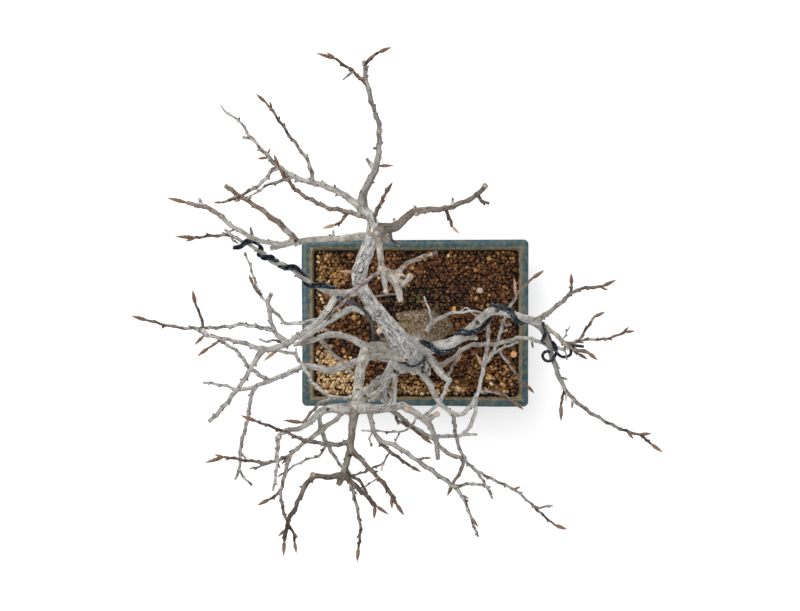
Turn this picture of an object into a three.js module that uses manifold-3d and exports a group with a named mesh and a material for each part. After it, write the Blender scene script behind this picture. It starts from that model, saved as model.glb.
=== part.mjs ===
// A leafless bonsai tree in a glazed rectangular pot, in millimetres, +Z up, standing on z = 0.
// The tree was measured looking straight down on it, so a point of it is written as it is seen:
// x and y on a level plane at PLAN_HEIGHT above the rim, and its height above the rim. Anything higher
// than that plane looks larger than it is, and place() gives its true position on its line of sight.
import * as THREE from 'three';
import { mergeVertices } from 'three/addons/utils/BufferGeometryUtils.js';
import Module from 'manifold-3d';

const wasm = await Module();
wasm.setup();

// Driving dimensions.
const EYE_HEIGHT = 1500;
const PLAN_HEIGHT = 136;
const GAP = 0.3;
const BARK_CLEARANCE = 0.75;

const POT = { height: 78, length: 248, depth: 182, corner: 7, footHeight: 9, floor: 8 };
const POT_CENTRE = { x: 16.5, y: -19.8 };
const LIP = { height: 9, overhang: 3.5 };
const CAVITY = { length: 223, depth: 157, corner: 5, taper: 0.93, chamfer: 3 };
const FOOT = { length: 38, depth: 26, inset: 9 };
const DRAIN = { radius: 11, spacing: 110 };
const WIRE_HOLE = { radius: 2.6, reach: 17 };
const MESH = { side: 38, thickness: 1.2, holes: 3, hole: 7 };
const SOIL = { level: -7, mound: 8, spread: 46, cell: 7.5, grain: 1.8 };
const ROOT_BALL_DEPTH = 36;
const TIE_WIRE_RADIUS = 1.1;
const TRAINING_WIRE = { left: 1.35, right: 0.95 };
const BUD_WIDTH = 4.4;

// Names of the tree's limbs, each with the limb it grows from, the points it passes in the plan view,
// its rise above its root (spread evenly along it), its seen width (the same) and how it ends.
const TRUNK = {
  path: [[26, -23], [26, -25], [25, -28.5], [21.5, -34], [19, -39], [14, -44], [9, -49]],
  heights: [-12, 18, 48, 76, 102, 128, 150],
  width: [34, 31.5, 29, 26.5, 26, 27.5, 25],
};

const LIMBS = [
  // The leader and the crown that it carries.
  ['leader', 'trunk', [[9, -47], [0, -34], [-8, -24], [-22, -5], [-29, 4], [-36, 13], [-41, 22], [-43, 30],
    [-42, 38], [-38, 47], [-34, 56], [-30, 64], [-27, 74], [-28, 84], [-32, 92], [-38, 98]],
    [0, 58, 122, 172, 210, 236, 250], [22, 19, 16, 14, 13, 12.5, 11, 9.5], 'cut'],
  ['upper', 'leader', [[-37, 96], [-37, 110], [-33, 120], [-26, 133], [-22, 147], [-21, 160], [-21, 180],
    [-25, 193], [-30, 210], [-34, 226], [-35, 236], [-36, 244]],
    [0, 22, 42, 58, 70], [9, 8, 7, 6, 5.4, 5, 4.6], 'cut'],
  ['upper_right', 'upper', [[-35, 240], [-30, 247], [-22, 253], [-8, 258.5]], [0, 6, 13], [3.5, 3], 'bud'],
  ['upper_left', 'upper', [[-34, 221], [-47, 234], [-64, 246.5], [-84.5, 252.5]], [0, 10, 24], [3.5, 2.6], 'bud'],
  ['crown_twig', 'leader', [[-27, 86], [-22, 97], [-15, 111], [-7, 124]], [0, 18, 32], [4.4, 3], 'bud'],
  ['left_high', 'leader', [[-36, 96], [-50, 106], [-60, 113], [-80, 121], [-102, 127], [-120, 137.5],
    [-130, 147], [-140, 158], [-150, 169], [-161, 185], [-173, 192], [-179, 200]],
    [0, 8, 20, 34, 46, 58], [8.5, 7, 7, 6.5, 5, 4, 3, 2.4, 2], 'cut'],
  ['left_high_a', 'left_high', [[-87, 124], [-91, 142], [-100, 156], [-110, 169], [-120, 184], [-134, 203],
    [-144.5, 212]], [0, 16, 30, 44], [4.2, 3.2, 2.4], 'bud'],
  ['left_high_b', 'left_high', [[-107, 130], [-118, 125], [-131, 121], [-152, 107.5]],
    [0, -5, -5], [4, 3, 2.3], 'cut'],
  ['left_high_c', 'left_high', [[-121, 139], [-129, 134], [-134, 127], [-143, 119], [-165, 107],
    [-178, 103], [-187, 103]], [0, 4, 10], [4, 3.2, 2.6], 'bud'],
  ['cross_twig', 'leader', [[-29, 86], [-42, 90.5], [-62, 96], [-73, 98], [-100, 112.5], [-114, 127.5],
    [-121, 138], [-126.5, 152]], [0, 20, 38, 50, 58], [5.5, 4.5, 3.8, 3.2], 'bud'],
  ['cross_twig_a', 'cross_twig', [[-52, 93], [-58, 85], [-65, 80.5], [-78.5, 77]], [0, 8, 14], [3.2, 2.6], 'bud'],
  ['right_high', 'leader', [[-27, 77], [-18, 77], [-8, 78], [0, 82], [12, 93], [18, 95], [45, 97],
    [60, 102], [76, 110], [86, 121]], [0, 8, 20, 32, 44], [11, 10, 9, 7, 6, 5.5, 5, 4.8], 'cut'],
  ['right_high_a', 'right_high', [[77, 111], [82, 105], [89, 102]], [0, 3], [3.4, 3], 'cut'],
  ['right_high_b', 'right_high', [[45, 97], [49, 89], [52, 79], [59.5, 71.5]], [0, 4, 8], [3.2, 2.8], 'bud'],
  ['right_high_c', 'right_high', [[-9, 78], [-8, 66], [-1, 59]], [0, 3], [3.4, 2.2], 'cut'],
  ['left_upper', 'leader', [[-29, 68], [-40, 69], [-60, 67], [-80, 66.5], [-106, 63], [-122, 61.5],
    [-140, 65], [-155, 72], [-170, 81], [-185, 94], [-193, 98], [-213, 102.5], [-234, 108]],
    [0, 5, 12, 22, 34, 46], [8.5, 6.8, 7, 6.4, 5.5, 5, 4.5, 4], 'bud'],
  ['left_upper_a', 'left_upper', [[-103, 64], [-108, 70], [-122, 83], [-130, 89], [-140, 97], [-158, 108],
    [-175, 120]], [0, 10, 20, 32], [6.5, 6.5, 5.5, 5, 4.6], 'cut'],
  ['left_upper_b', 'left_upper', [[-113, 62.5], [-120, 59.5], [-130, 57]], [0, -2], [6.4, 6], 'cut'],
  ['top', 'leader', [[-27, 74], [-22, 67], [-20, 55], [-19, 45], [-18, 36], [-15, 31]],
    [0, 16, 26, 30], [8.5, 7, 8], 'cut'],
  ['top_left', 'top', [[-18, 36], [-22, 32], [-35, 24], [-48, 13], [-60, 0], [-66, -6], [-73, -15]],
    [0, 4, 8, 12], [4.5, 4, 3.5, 3, 2.5], 'cut'],
  ['top_stub', 'top', [[-16, 33], [-15, 23], [-14, 14]], [0, 4], [6, 5.5], 'cut'],
  ['top_right', 'top', [[-16, 33], [-7, 28], [-4, 22], [0, 5]], [0, 4, 6], [9, 7, 5], 'cut'],
  ['top_right_a', 'top_right', [[-4, 22], [5, 25], [11, 33]], [0, 5], [6, 5], 'cut'],
  ['top_right_b', 'top_right', [[-8, 28.5], [3, 36], [18, 47], [26, 50]], [0, 5], [4.6, 4], 'cut'],

  // The middle tier on the left.
  ['left_mid', 'leader', [[-38, 17], [-48, 12.5], [-60, 11], [-68, 3], [-78, -12], [-84, -18], [-100, -29],
    [-113, -38], [-122, -42], [-137, -43.5], [-155, -38], [-180, -32.5], [-195, -29], [-211, -20.5]],
    [0, 4, 12, 24, 36, 48], [9, 7.5, 7, 7, 6.5, 6, 5, 4.4, 3, 2.5], 'cut'],
  ['left_wired', 'left_mid', [[-55, 12], [-68, 13], [-82, 18.5], [-95, 26], [-110, 38], [-118, 41.5],
    [-125, 42], [-130, 46], [-140, 54], [-152, 61.5], [-165, 68], [-175, 76]],
    [0, 8, 14, 24, 36], [7, 6, 5.4, 5, 4.6, 4, 3], 'cut'],
  ['left_wired_a', 'left_wired', [[-167, 69], [-175, 70.5], [-205, 68], [-225.5, 69]],
    [0, 6, 16], [3.2, 2.6], 'bud'],
  ['left_mid_down', 'left_mid', [[-137, -43.5], [-144, -54], [-152, -67], [-157, -76], [-167, -89],
    [-179, -104], [-191, -116]], [0, 6, 12], [6, 5, 4.5, 4], 'cut'],
  ['left_mid_up', 'left_mid', [[-113, -38], [-118, -33], [-126, -25], [-131.5, -3], [-132, 3], [-129, 12]],
    [0, 10, 20, 28], [6.4, 4.8, 4.4], 'cut'],
  ['left_mid_tip', 'left_mid_up', [[-125, -25], [-142, -21.5], [-158, -19], [-175, -21.5], [-213, -22.5],
    [-230, -20.5], [-252, -15], [-269.5, -10]], [0, 8, 22, 38], [4, 3.2, 3, 2.6], 'bud'],
  ['left_mid_tip_a', 'left_mid_tip', [[-197, -22], [-199, -12], [-204.5, 1], [-207.5, 16]],
    [0, 14, 26], [3, 2.5], 'bud'],
  ['left_mid_a', 'left_mid', [[-180, -32.5], [-184, -38], [-191, -42], [-203, -51]], [0, 4], [2.6, 2.4], 'bud'],
  ['left_mid_b', 'left_mid', [[-114, -38.5], [-127, -34.5], [-134, -36], [-141, -33.5]], [0, 9], [2.6, 2], 'cut'],
  ['left_loop', 'left_mid', [[-80, -14], [-92, -16], [-113, -18], [-122, -10], [-131, 0], [-140, 12],
    [-146, 27], [-149, 37], [-155, 53]], [0, 6, 10, 14], [3.8, 3.4, 3, 2.4, 2], 'cut'],
  ['left_loop_a', 'left_loop', [[-139, 10], [-144, 15], [-147, 21], [-151.5, 31.5]], [0, 6], [2.6, 2.4], 'bud'],
  ['left_pale', 'leader', [[-23, -3], [-35, -6], [-42, -3], [-48, -3], [-55, -6], [-68, -13.5],
    [-84, -24], [-101, -36]], [0, -25, -42, -45], [7.5, 7, 6.5, 6], 'cut'],

  // The limb that reaches to the front, and what grows from it.
  ['front', 'trunk', [[6, -47], [-5, -45], [-15, -43], [-25, -41.5], [-33, -42], [-38, -47], [-41, -55],
    [-43, -65], [-43.5, -85], [-43, -101]], [0, 20, 45, 80, 115, 150], [16, 13, 12, 11.5, 10.5, 10, 12], 'cut'],
  ['left_inner', 'front', [[-31, -41.5], [-45, -35], [-60, -29.5], [-75, -30], [-90, -36], [-107, -39.5]],
    [0, 8, 16, 20], [8, 7, 7, 5.5, 5], 'cut'],
  ['left_inner_a', 'left_inner', [[-80, -32], [-70, -45], [-63, -52], [-47, -68]],
    [0, -10, -22], [3.8, 3.4, 3], 'cut'],
  ['front_left', 'front', [[-43, -99], [-50, -103], [-70, -103], [-80, -107], [-92, -118], [-98, -122],
    [-118, -127], [-122, -134], [-123, -160], [-127, -185]],
    [0, 10, 22, 32, 42], [11, 10.5, 9, 6.5, 4.8, 4.2, 4, 3.4, 2.6], 'cut'],
  ['front_thin', 'front', [[-44, -91], [-55, -92], [-72, -94.5], [-80, -97], [-87, -105], [-97, -117],
    [-118, -114.5]], [0, 22, 40, 52], [3.4, 3, 2.8], 'bud'],
  ['front_long', 'front_thin', [[-60, -93], [-70, -91], [-88, -77], [-91, -70], [-103, -52], [-107, -48],
    [-134, -44]], [0, 6, 10], [3.6, 3.4, 3], 'cut'],
  ['front_corner', 'front_left', [[-57, -103], [-59, -109], [-72, -120], [-88, -132], [-102, -142],
    [-111, -152], [-114, -165], [-120, -188]], [0, -6, 4, 18, 32], [5, 5, 5.5, 4.5, 4, 3], 'cut'],
  ['front_corner_a', 'front_corner', [[-119, -184], [-125, -191], [-130, -193.5], [-143, -200]],
    [0, 4], [3, 2.6], 'bud'],
  ['front_corner_b', 'front_corner', [[-119.5, -186], [-118, -199], [-113, -216], [-107, -226],
    [-105.5, -236], [-103.5, -248]], [0, 12, 24], [3, 2.6], 'bud'],
  ['front_west', 'front_corner', [[-109, -150], [-117, -153], [-130, -157], [-145, -156], [-176, -151.5],
    [-196, -157.5]], [0, 8, 20], [3.4, 3, 2.6], 'bud'],
  ['front_west_a', 'front_west', [[-130, -157], [-140, -161], [-150, -163]], [0, 2], [2.4, 2], 'cut'],
  ['front_grey', 'front_left', [[-79, -107], [-80, -122], [-73, -138], [-66, -150], [-58, -162]],
    [0, -30, -36], [5, 4, 3], 'cut'],
  ['front_grey_a', 'front_grey', [[-73, -138], [-80, -149], [-98, -156], [-122, -171]],
    [0, -4, -6], [2.6, 2], 'cut'],
  ['front_down', 'front', [[-43.5, -99], [-46, -107], [-48, -125], [-50, -145], [-52, -152], [-57, -171]],
    [0, 8, 18, 28], [10, 8, 8, 7, 6.5], 'cut'],
  ['front_down_stub', 'front_down', [[-56, -168], [-59, -174], [-62, -180]], [0, 0], [6.5, 6], 'cut'],
  ['front_mid_left', 'front_down', [[-49, -136], [-66, -139], [-75, -138], [-92, -136], [-112, -127.5],
    [-143, -116], [-160, -109.5]], [0, 14, 28, 38, 46], [5, 4.2, 3.5, 2.6, 2.4], 'bud'],
  ['front_down_left', 'front_down', [[-56, -170], [-70, -171.5], [-86, -171], [-95, -181], [-105, -203],
    [-112, -216], [-115.5, -235], [-116.5, -251]], [0, 8, 22, 38], [6, 6, 5, 4.4, 3.6], 'bud'],
  ['front_down_right', 'front_down', [[-56, -168], [-48, -177], [-32, -192], [-25, -200], [-26, -214]],
    [0, 8, 18], [5.4, 4.8, 4.5], 'bud'],
  ['front_strand', 'front_down', [[-54, -162], [-50, -169], [-40, -176], [-33, -188]], [0, 14, 14], [3.4, 3], 'cut'],
  ['front_tail', 'front_down_right', [[-50, -174], [-47, -186], [-42, -207], [-39.5, -221], [-41.5, -242],
    [-43, -257]], [0, -4, 2, 6], [3.6, 3, 2.4], 'bud'],
  ['front_fork', 'front_down', [[-50, -144], [-42, -151], [-24, -170], [-14, -181], [-4, -198], [4.5, -210.5]],
    [0, -4, 6, 18], [5.8, 5, 4.4, 3], 'bud'],
  ['front_cross', 'front_down', [[-56, -166], [-48, -169.5], [-40, -168], [-28, -163], [-17, -157],
    [-10, -146]], [0, 12, 14], [2.4, 1.8], 'cut'],
  ['front_right', 'front', [[-43, -101], [-35, -103], [-15, -103], [2, -100.5], [8, -103], [22, -112],
    [31, -122], [36.5, -137], [38, -155]], [0, 6, 10, 14, 16], [11, 9.5, 8.5, 8, 7, 6, 5.5, 5], 'cut'],
  ['front_right_stub', 'front_right', [[25, -115], [38, -108]], [0, 4], [5.4, 5], 'cut'],
  ['front_right_a', 'front_right', [[-11, -102], [-5, -107], [12, -120], [27, -130], [33, -133], [46, -147],
    [61, -153], [63, -160], [53, -178], [47, -191]], [0, -14, -12, -8, -4, 0], [5, 4.6, 4.4, 3.6, 3], 'bud'],
  ['front_right_b', 'front_right_a', [[-4, -108], [-3, -114], [10, -121.5], [20, -129], [33, -139]],
    [0, -8, -6], [3, 2.8], 'bud'],
  ['front_right_c', 'front_right', [[-29, -104], [-29, -115], [-22, -133], [-8, -139], [0, -143], [17, -155],
    [33, -166], [50, -178], [61, -189], [67, -201], [74, -221], [78, -231]],
    [0, 5, 12, 22, 34, 46], [5.6, 5, 5, 4.6, 4, 3, 2.2], 'cut'],
  ['front_right_d', 'front_right_c', [[16, -155], [24, -152.5], [32, -152.5]], [0, 3], [2.6, 2.6], 'bud'],
  ['front_right_e', 'front_right_c', [[52, -180], [60, -180], [72, -178], [90, -182]], [0, 4, 8], [3, 2.8], 'cut'],
  ['front_right_f', 'front_right_c', [[-22, -133], [-15, -142], [10, -160.5], [21.5, -166.5]],
    [0, -10, -10], [3.6, 3], 'bud'],
  ['front_right_h', 'front_right', [[16, -108], [14, -118], [1, -126], [-15, -126], [-38, -125]],
    [0, 8, 8], [2.2, 1.8], 'cut'],

  // The lowest limbs.
  ['left_low', 'trunk', [[14, -45], [-2, -53], [-12, -54], [-25, -51.5], [-38, -54], [-60, -62], [-70, -64.5],
    [-93, -60], [-110, -67], [-140, -79], [-160, -84.5], [-175, -80], [-197, -77]],
    [0, 2, 14, 26, 36], [9, 6.5, 6.5, 7, 6.5, 6, 5, 4, 3, 2.5], 'cut'],
  ['left_low_a', 'left_low', [[-131, -75.5], [-140, -70], [-152, -60], [-164, -45], [-181, -34.5]],
    [0, 10, 20], [4.2, 3.6, 3], 'cut'],
  ['left_low_b', 'left_low', [[-145, -80.5], [-149, -92], [-152, -112], [-159, -140], [-161, -165],
    [-165, -174]], [0, 8, 16, 22], [4.4, 4, 3.4, 2.6], 'cut'],
  ['left_low_c', 'left_low_b', [[-161, -164], [-156, -172], [-148, -180]], [0, 4], [2.4, 2], 'cut'],
  ['inner_low', 'trunk', [[11, -47], [0, -65], [-10, -70], [-20, -76], [-36, -84]], [0, -8, 0, 6], [8, 6, 5.5], 'cut'],
  ['inner_low_a', 'inner_low', [[-23, -77.5], [-28, -84], [-32, -91]], [0, 3], [3.8, 3], 'cut'],
  ['inner_low_b', 'inner_low', [[-17, -74], [-18, -84], [-18, -96]], [0, 4], [3.8, 3], 'cut'],
  ['inner_low_c', 'inner_low', [[-5, -67.5], [-5, -80], [-6, -99]], [0, 6], [5, 5], 'cut'],
  ['low_stub', 'trunk', [[14, -46], [27, -50], [38, -64], [51, -77]], [0, 8, 14, 18], [9, 8, 7.5, 7], 'cut'],
  ['low_stub_a', 'low_stub', [[49, -75], [44, -88], [40, -96], [35, -102], [24, -110]], [0, 6, 10], [3.8, 3.4], 'cut'],
  ['low_stub_b', 'low_stub', [[47, -73], [52, -62], [56, -56], [62.5, -48]], [0, 8], [3, 2.8], 'bud'],
  ['right_thin', 'low_stub', [[36, -61], [48, -56], [64, -43], [72, -39.5], [98, -38], [120, -32.5],
    [133, -34], [155, -42.5], [170, -43]], [0, 4, 8, 14, 20], [5, 4.6, 4.2, 3.6, 3.2], 'cut'],
  ['centre_twig', 'trunk', [[22, -34], [30, -23], [38, -13], [52, -8], [72, -2], [83, -8.5]],
    [0, 14, 22, 28], [5, 4, 3, 2.2, 2], 'cut'],
  ['centre_twig_a', 'centre_twig', [[33, -19], [30, -7], [24, 9]], [0, 8], [2.4, 1.8], 'cut'],
  ['right_low', 'trunk', [[13, -46], [18, -62], [30, -79], [38, -95], [52, -108], [58, -109.5], [64, -107.5],
    [75, -94], [80, -80], [83, -62], [88, -35], [88, -18]],
    [0, 20, 30, 40, 48, 54], [9, 7, 6, 5, 4.6, 4.5, 4, 3.4, 2.8], 'cut'],
  ['right_low_a', 'right_low', [[83.5, -60], [92, -48], [97, -37], [105, -13], [118, 12], [132, 27],
    [144.5, 35.5]], [0, 6, 12, 30, 40], [3.4, 3, 2.8, 2.6], 'bud'],
  ['right_low_c', 'right_low_a', [[91, -49], [100, -44], [118, -36.5]], [0, 6], [2.6, 2], 'cut'],
  ['right_low_d', 'right_low_c', [[99, -44.5], [110, -60], [120, -75], [127, -80], [134.5, -88]],
    [0, 4, 8], [2.6, 2.4], 'bud'],
  ['right_low_e', 'right_low', [[78, -85], [98, -87.5], [112, -95], [124, -104.5]], [0, 4, 8], [3, 2.6], 'bud'],
  ['right_low_g', 'right_low', [[76, -92], [75, -108], [67, -125], [60, -130], [37, -131]],
    [0, -8, -14], [4.2, 4, 4], 'cut'],
  ['right_low_h', 'right_low', [[53, -108.5], [56.5, -133], [65, -154], [78, -166], [96, -175.5],
    [117, -186], [140, -207], [155, -219.5], [167.5, -224]],
    [0, 10, 24, 36, 46], [3.8, 3.4, 3, 2.6, 2.3, 2.2], 'bud'],
  ['right_low_i', 'right_low_h', [[77, -165], [84, -177], [92.5, -193]], [0, 4], [2.4, 2.2], 'cut'],
  ['right_low_j', 'right_low_h', [[133, -200], [139, -202], [152.5, -200]], [0, 3], [2.3, 2.1], 'cut'],

  // The wired limb on the right and its three ends.
  ['right', 'trunk', [[9, -47], [15, -43], [25, -43], [35, -42], [55, -35.5], [68, -26], [87, -8], [93, -5],
    [108, -8], [138, -17]], [0, 20, 45, 70, 90, 100], [16, 12, 11.5, 10.5, 9.5, 9, 8.5, 8, 8], 'cut'],
  ['right_stub', 'right', [[56, -34.5], [68, -32], [78, -33]], [0, 5], [5, 4.5], 'cut'],
  ['right_front', 'right', [[135, -16], [140, -20], [147, -33], [151, -47], [156, -62], [162, -78],
    [170, -90], [181, -100], [195, -110], [222, -124], [241, -130], [251, -138.5], [263, -147]],
    [0, 6, 14, 26, 42, 58], [7.4, 6.5, 5.5, 4, 3.6, 3, 2.6, 2.2], 'bud'],
  ['right_front_a', 'right_front', [[164.5, -83], [161, -99], [161, -116.5]], [0, 8], [2.6, 2.4], 'bud'],
  ['right_back', 'right', [[135, -16], [145, -9.5], [158, 0.5], [176, 15], [190, 18], [202, 19],
    [217, 26]], [0, 12, 26, 38], [5.5, 4.6, 3.8, 3.2, 2.6], 'bud'],
  ['right_back_a', 'right_back', [[171, 11], [171.5, 20], [171, 33]], [0, 6], [2.6, 2.6], 'bud'],
  ['right_mid', 'right', [[134, -16], [147, -22], [160, -33], [171, -42.5], [188, -47], [198, -55]],
    [0, 8, 18, 30], [5, 4.5, 4, 3.4], 'bud'],
  ['right_mid_a', 'right_mid', [[170, -42], [178, -48], [188, -54]], [0, -5], [2.4, 2.4], 'bud'],
  ['right_mid_b', 'right_mid', [[165, -37.5], [176, -36.5], [184, -27], [194, -11.5], [205.5, -6]],
    [0, 8, 14], [3, 2.6], 'bud'],
  ['right_mid_c', 'right_mid_b', [[175, -36.5], [185, -34.5], [208, -33], [225, -26.5], [235.5, -25.5]],
    [0, 6, 12], [2.8, 2.4], 'bud'],
];

// Side buds: the limb, the point where the bud stands on it, and its tip.
const SIDE_BUDS = [
  ['upper_left', -66, 248, -74, 253.5], ['crown_twig', -14, 112, -14, 119], ['upper', -21, 138.5, -6, 140],
  ['left_high', -134, 150, -143.5, 158.5], ['left_high', -133, 150, -129.5, 158],
  ['left_high', -131, 148, -143.5, 146.5], ['left_high_a', -128, 196, -130.5, 205],
  ['left_upper', -163, 77, -172, 74], ['left_upper_a', -160, 109, -172, 106], ['leader', -43, 35, -62, 34],
  ['left_wired_a', -204, 68, -215, 64], ['left_mid', -195, -29, -206, -40], ['front_long', -124, -45.5, -137, -56],
  ['front_corner', -110, -151, -119, -159], ['front_corner_b', -107, -226, -101.5, -233.5],
  ['front_west', -176, -151.5, -186, -149], ['front_west_a', -141, -161, -146, -165],
  ['front_down_left', -114, -223, -122.5, -231.5], ['front_down_right', -25.5, -199.5, -10.5, -209.5],
  ['front_fork', -9, -190, -8, -204], ['front_right_c', 71, -212, 78.5, -222],
  ['front_right_c', 61, -189, 69.5, -193.5], ['right_low', 83, -62, 75.5, -47],
  ['right_low_a', 116, 9, 114, 28.5], ['right_low_d', 120, -75, 123, -83], ['right_low_i', 88, -184, 93, -190],
  ['right_low_h', 113, -184, 121, -181], ['right_back', 200, 18.5, 208.5, 15],
  ['right_front', 239, -129, 252, -128], ['right_front', 226, -125, 234, -134], ['right_mid_c', 222, -28, 229, -21],
];

// Short stubs and spurs: the limb, the root, the end, and the seen width.
const SPURS = [
  ['upper', -29, 137, -33.5, 147, 4.5], ['upper', -22, 158, -27, 157, 3], ['upper_left', -47, 234, -57, 226, 2.4],
  ['left_high', -149, 167, -157, 168, 3.4], ['left_upper', -198, 99, -201, 107.5, 3],
  ['left_upper', -147, 69, -149.5, 78, 3], ['left_upper', -66, 68, -67, 75, 3], ['right_high', 53, 99, 52.5, 107.5, 3],
  ['right_high', 14, 94, 14, 100, 3], ['right_high', -5, 79, -6, 87, 3.6], ['left_inner', -67, -29, -76, -23, 3],
  ['front_long', -104, -51, -104, -43, 2.6], ['left_low_b', -159, -148, -154, -153, 2.4],
  ['front_cross', -17, -157, -18.5, -165, 2.2], ['right_low_g', 62, -128.5, 77, -129, 2.6],
  ['right_thin', 131, -33.5, 133, -42, 2.6], ['right_front', 166, -86, 166, -95, 2.6],
  ['right_front', 173, -93, 172, -102, 2.6], ['right_front', 160, -72, 167, -74, 2.6],
  ['left_mid', -194, -29, -197, -23, 4],
];

// Surface roots: where each leaves the trunk's foot and where it dives, as true x, y and height.
const ROOTS = [
  [[30, -22, 16], [14, -14, 9], [-3, -11, 0]],
  [[30, -22, 18], [22, -13, 9], [10, -9, 0]],
  [[32, -22, 18], [34, -16, 9], [33, -13, 0]],
  [[32, -22, 18], [42, -20, 9], [50, -19, 0]],
  [[32, -24, 18], [44, -28, 8], [51, -30, 0]],
  [[30, -26, 18], [33, -34, 8], [32, -38, 0]],
  [[28, -26, 18], [14, -34, 8], [9, -38, 0]],
  [[28, -24, 16], [10, -24, 8], [-4, -22, 0]],
];
const ROOT_WIDTH = [19, 13, 8];
const ROOT_CROWN = [[-10, -10], [4, -3], [22, -5], [40, -8], [57, -15], [61, -27], [54, -39], [34, -46],
  [10, -45], [-6, -34], [-12, -22]];

// The tie wire's route, as true x, y and height above the rim: its seen end lies on the soil, it goes down
// through the soil and the floor, along under the pot, up again and ends beside the roots.
const TIE_ROUTE = [[-28, 9, -1], [-20, 12, 0.5], [-10, 13, 1], [-5, 9, -2], [-3, 3, -14], [-2, -2, -34],
  [-0.5, -2.8, -56], [-0.5, -2.8, -68], [1, -4, -71], [8, -12, -71.5], [25, -27, -71.5], [32, -35.5, -71],
  [33.5, -36.8, -68], [33.5, -36.8, -56], [35, -44, -47], [40, -54, -34], [42, -59, -16], [40, -61, -4]];

// Training wires: the limbs each lies on, and the points it passes, as seen x, y and how far above the
// limb's middle line it runs there. A pair of strands share the wired limb and part at its end.
const LEFT_WIRE = {
  limbs: ['left_wired', 'left_mid', 'leader', 'left_pale'],
  path: [[-167, 58, 3], [-160, 58.5, 4], [-152, 65, 2], [-145, 63.5, 3], [-140, 60, 1], [-139, 55.5, -4],
    [-141, 50, -2], [-136, 47.5, 3], [-129, 48.5, 4], [-125, 46, 1], [-121, 41, -4], [-117, 37.5, 0],
    [-112, 38, 4], [-105, 38.5, 3], [-98, 33, 0], [-95, 26, -4], [-93, 20.5, 0], [-86, 20, 4], [-76, 20.5, 3],
    [-68, 17.5, 0], [-61, 10, -5]],
};
const RIGHT_SHARED = [[17, -33, 1], [25, -37, 6], [34, -42, 6], [41, -45.5, 4], [49, -46, 0], [55, -40, -6],
  [56, -32, -3], [62, -27, 3], [72, -26, 5], [80, -24.5, 3], [87, -18, -1], [91, -9, -6], [94, -1.5, -1],
  [102, -2, 5], [109, -5, 5], [115, -12, 3], [120, -18.5, 0]];
const RIGHT_WIRE_FRONT = {
  limbs: ['right', 'right_front'],
  path: [...RIGHT_SHARED, [127, -19.5, -5], [133, -23.5, -4], [137, -25, 1], [142, -26, 5], [141, -33, 0],
    [147, -36, -5], [152, -36, 0], [155.5, -42, 2], [153.5, -49, 4], [149, -54.5, 3], [143.5, -54, 3],
    [141.5, -50, 4], [144, -47, 5]],
};
const RIGHT_WIRE_MID = {
  limbs: ['right', 'right_mid'],
  path: [...RIGHT_SHARED, [125, -18, -8], [131, -14, -10], [140, -17, -12], [150, -26, -12], [154, -38, -12],
    [156, -45, -9], [161, -50.5, -5], [166, -50, -3], [170, -47, 2], [172, -43, 5], [176, -39.5, 4],
    [184, -41, 2]],
};
const STRAND_SPREAD = 1.2;
const WIRE_NEIGHBOURS = ['trunk', 'leader', 'right_stub'];
const PUSH_PASSES = 4;

// Small things that lie on the soil: true x, y, width and height of each.
const LITTER = {
  pale_pebble: [86.5, 14, 6.5, 5, '#d8d0c0'],
  fallen_bead: [122.5, -54, 7, 6.5, '#d9a482'],
  seed_husk: [58, -4.5, 7, 3, '#c9a45c'],
};

const BARK = new THREE.MeshStandardMaterial({ color: '#b5ada4', roughness: 0.85 });
const GLAZE = new THREE.MeshStandardMaterial({ color: '#3f6f76', roughness: 0.3 });
const GRANULES = new THREE.MeshStandardMaterial({ color: '#7a4a2b', roughness: 0.95 });
const ALUMINIUM_WIRE = new THREE.MeshStandardMaterial({ color: '#23272c', roughness: 0.4, metalness: 0.6 });
const TIE_METAL = new THREE.MeshStandardMaterial({ color: '#77787a', roughness: 0.5, metalness: 0.7 });
const PLASTIC_NET = new THREE.MeshStandardMaterial({ color: '#26282a', roughness: 0.7 });

// The true scale of what is seen, at a height above the rim.
function sightScale(height) {
  return (EYE_HEIGHT - height) / (EYE_HEIGHT - PLAN_HEIGHT);
}

function place(x, y, height) {
  const scale = sightScale(height);
  return new THREE.Vector3(x * scale, y * scale, POT.height + height);
}

function fromRim(x, y, height) {
  return new THREE.Vector3(x, y, POT.height + height);
}

// The value at a fraction of a list whose entries are spread evenly from 0 to 1.
function along(list, fraction) {
  const position = Math.min(Math.max(fraction, 0), 1) * (list.length - 1);
  const index = Math.min(Math.floor(position), list.length - 2);
  return THREE.MathUtils.lerp(list[index], list[index + 1], position - index);
}

function repeatable(seed) {
  let state = seed;
  return () => {
    state = (state * 1664525 + 1013904223) % 4294967296;
    return state / 4294967296;
  };
}

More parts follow.
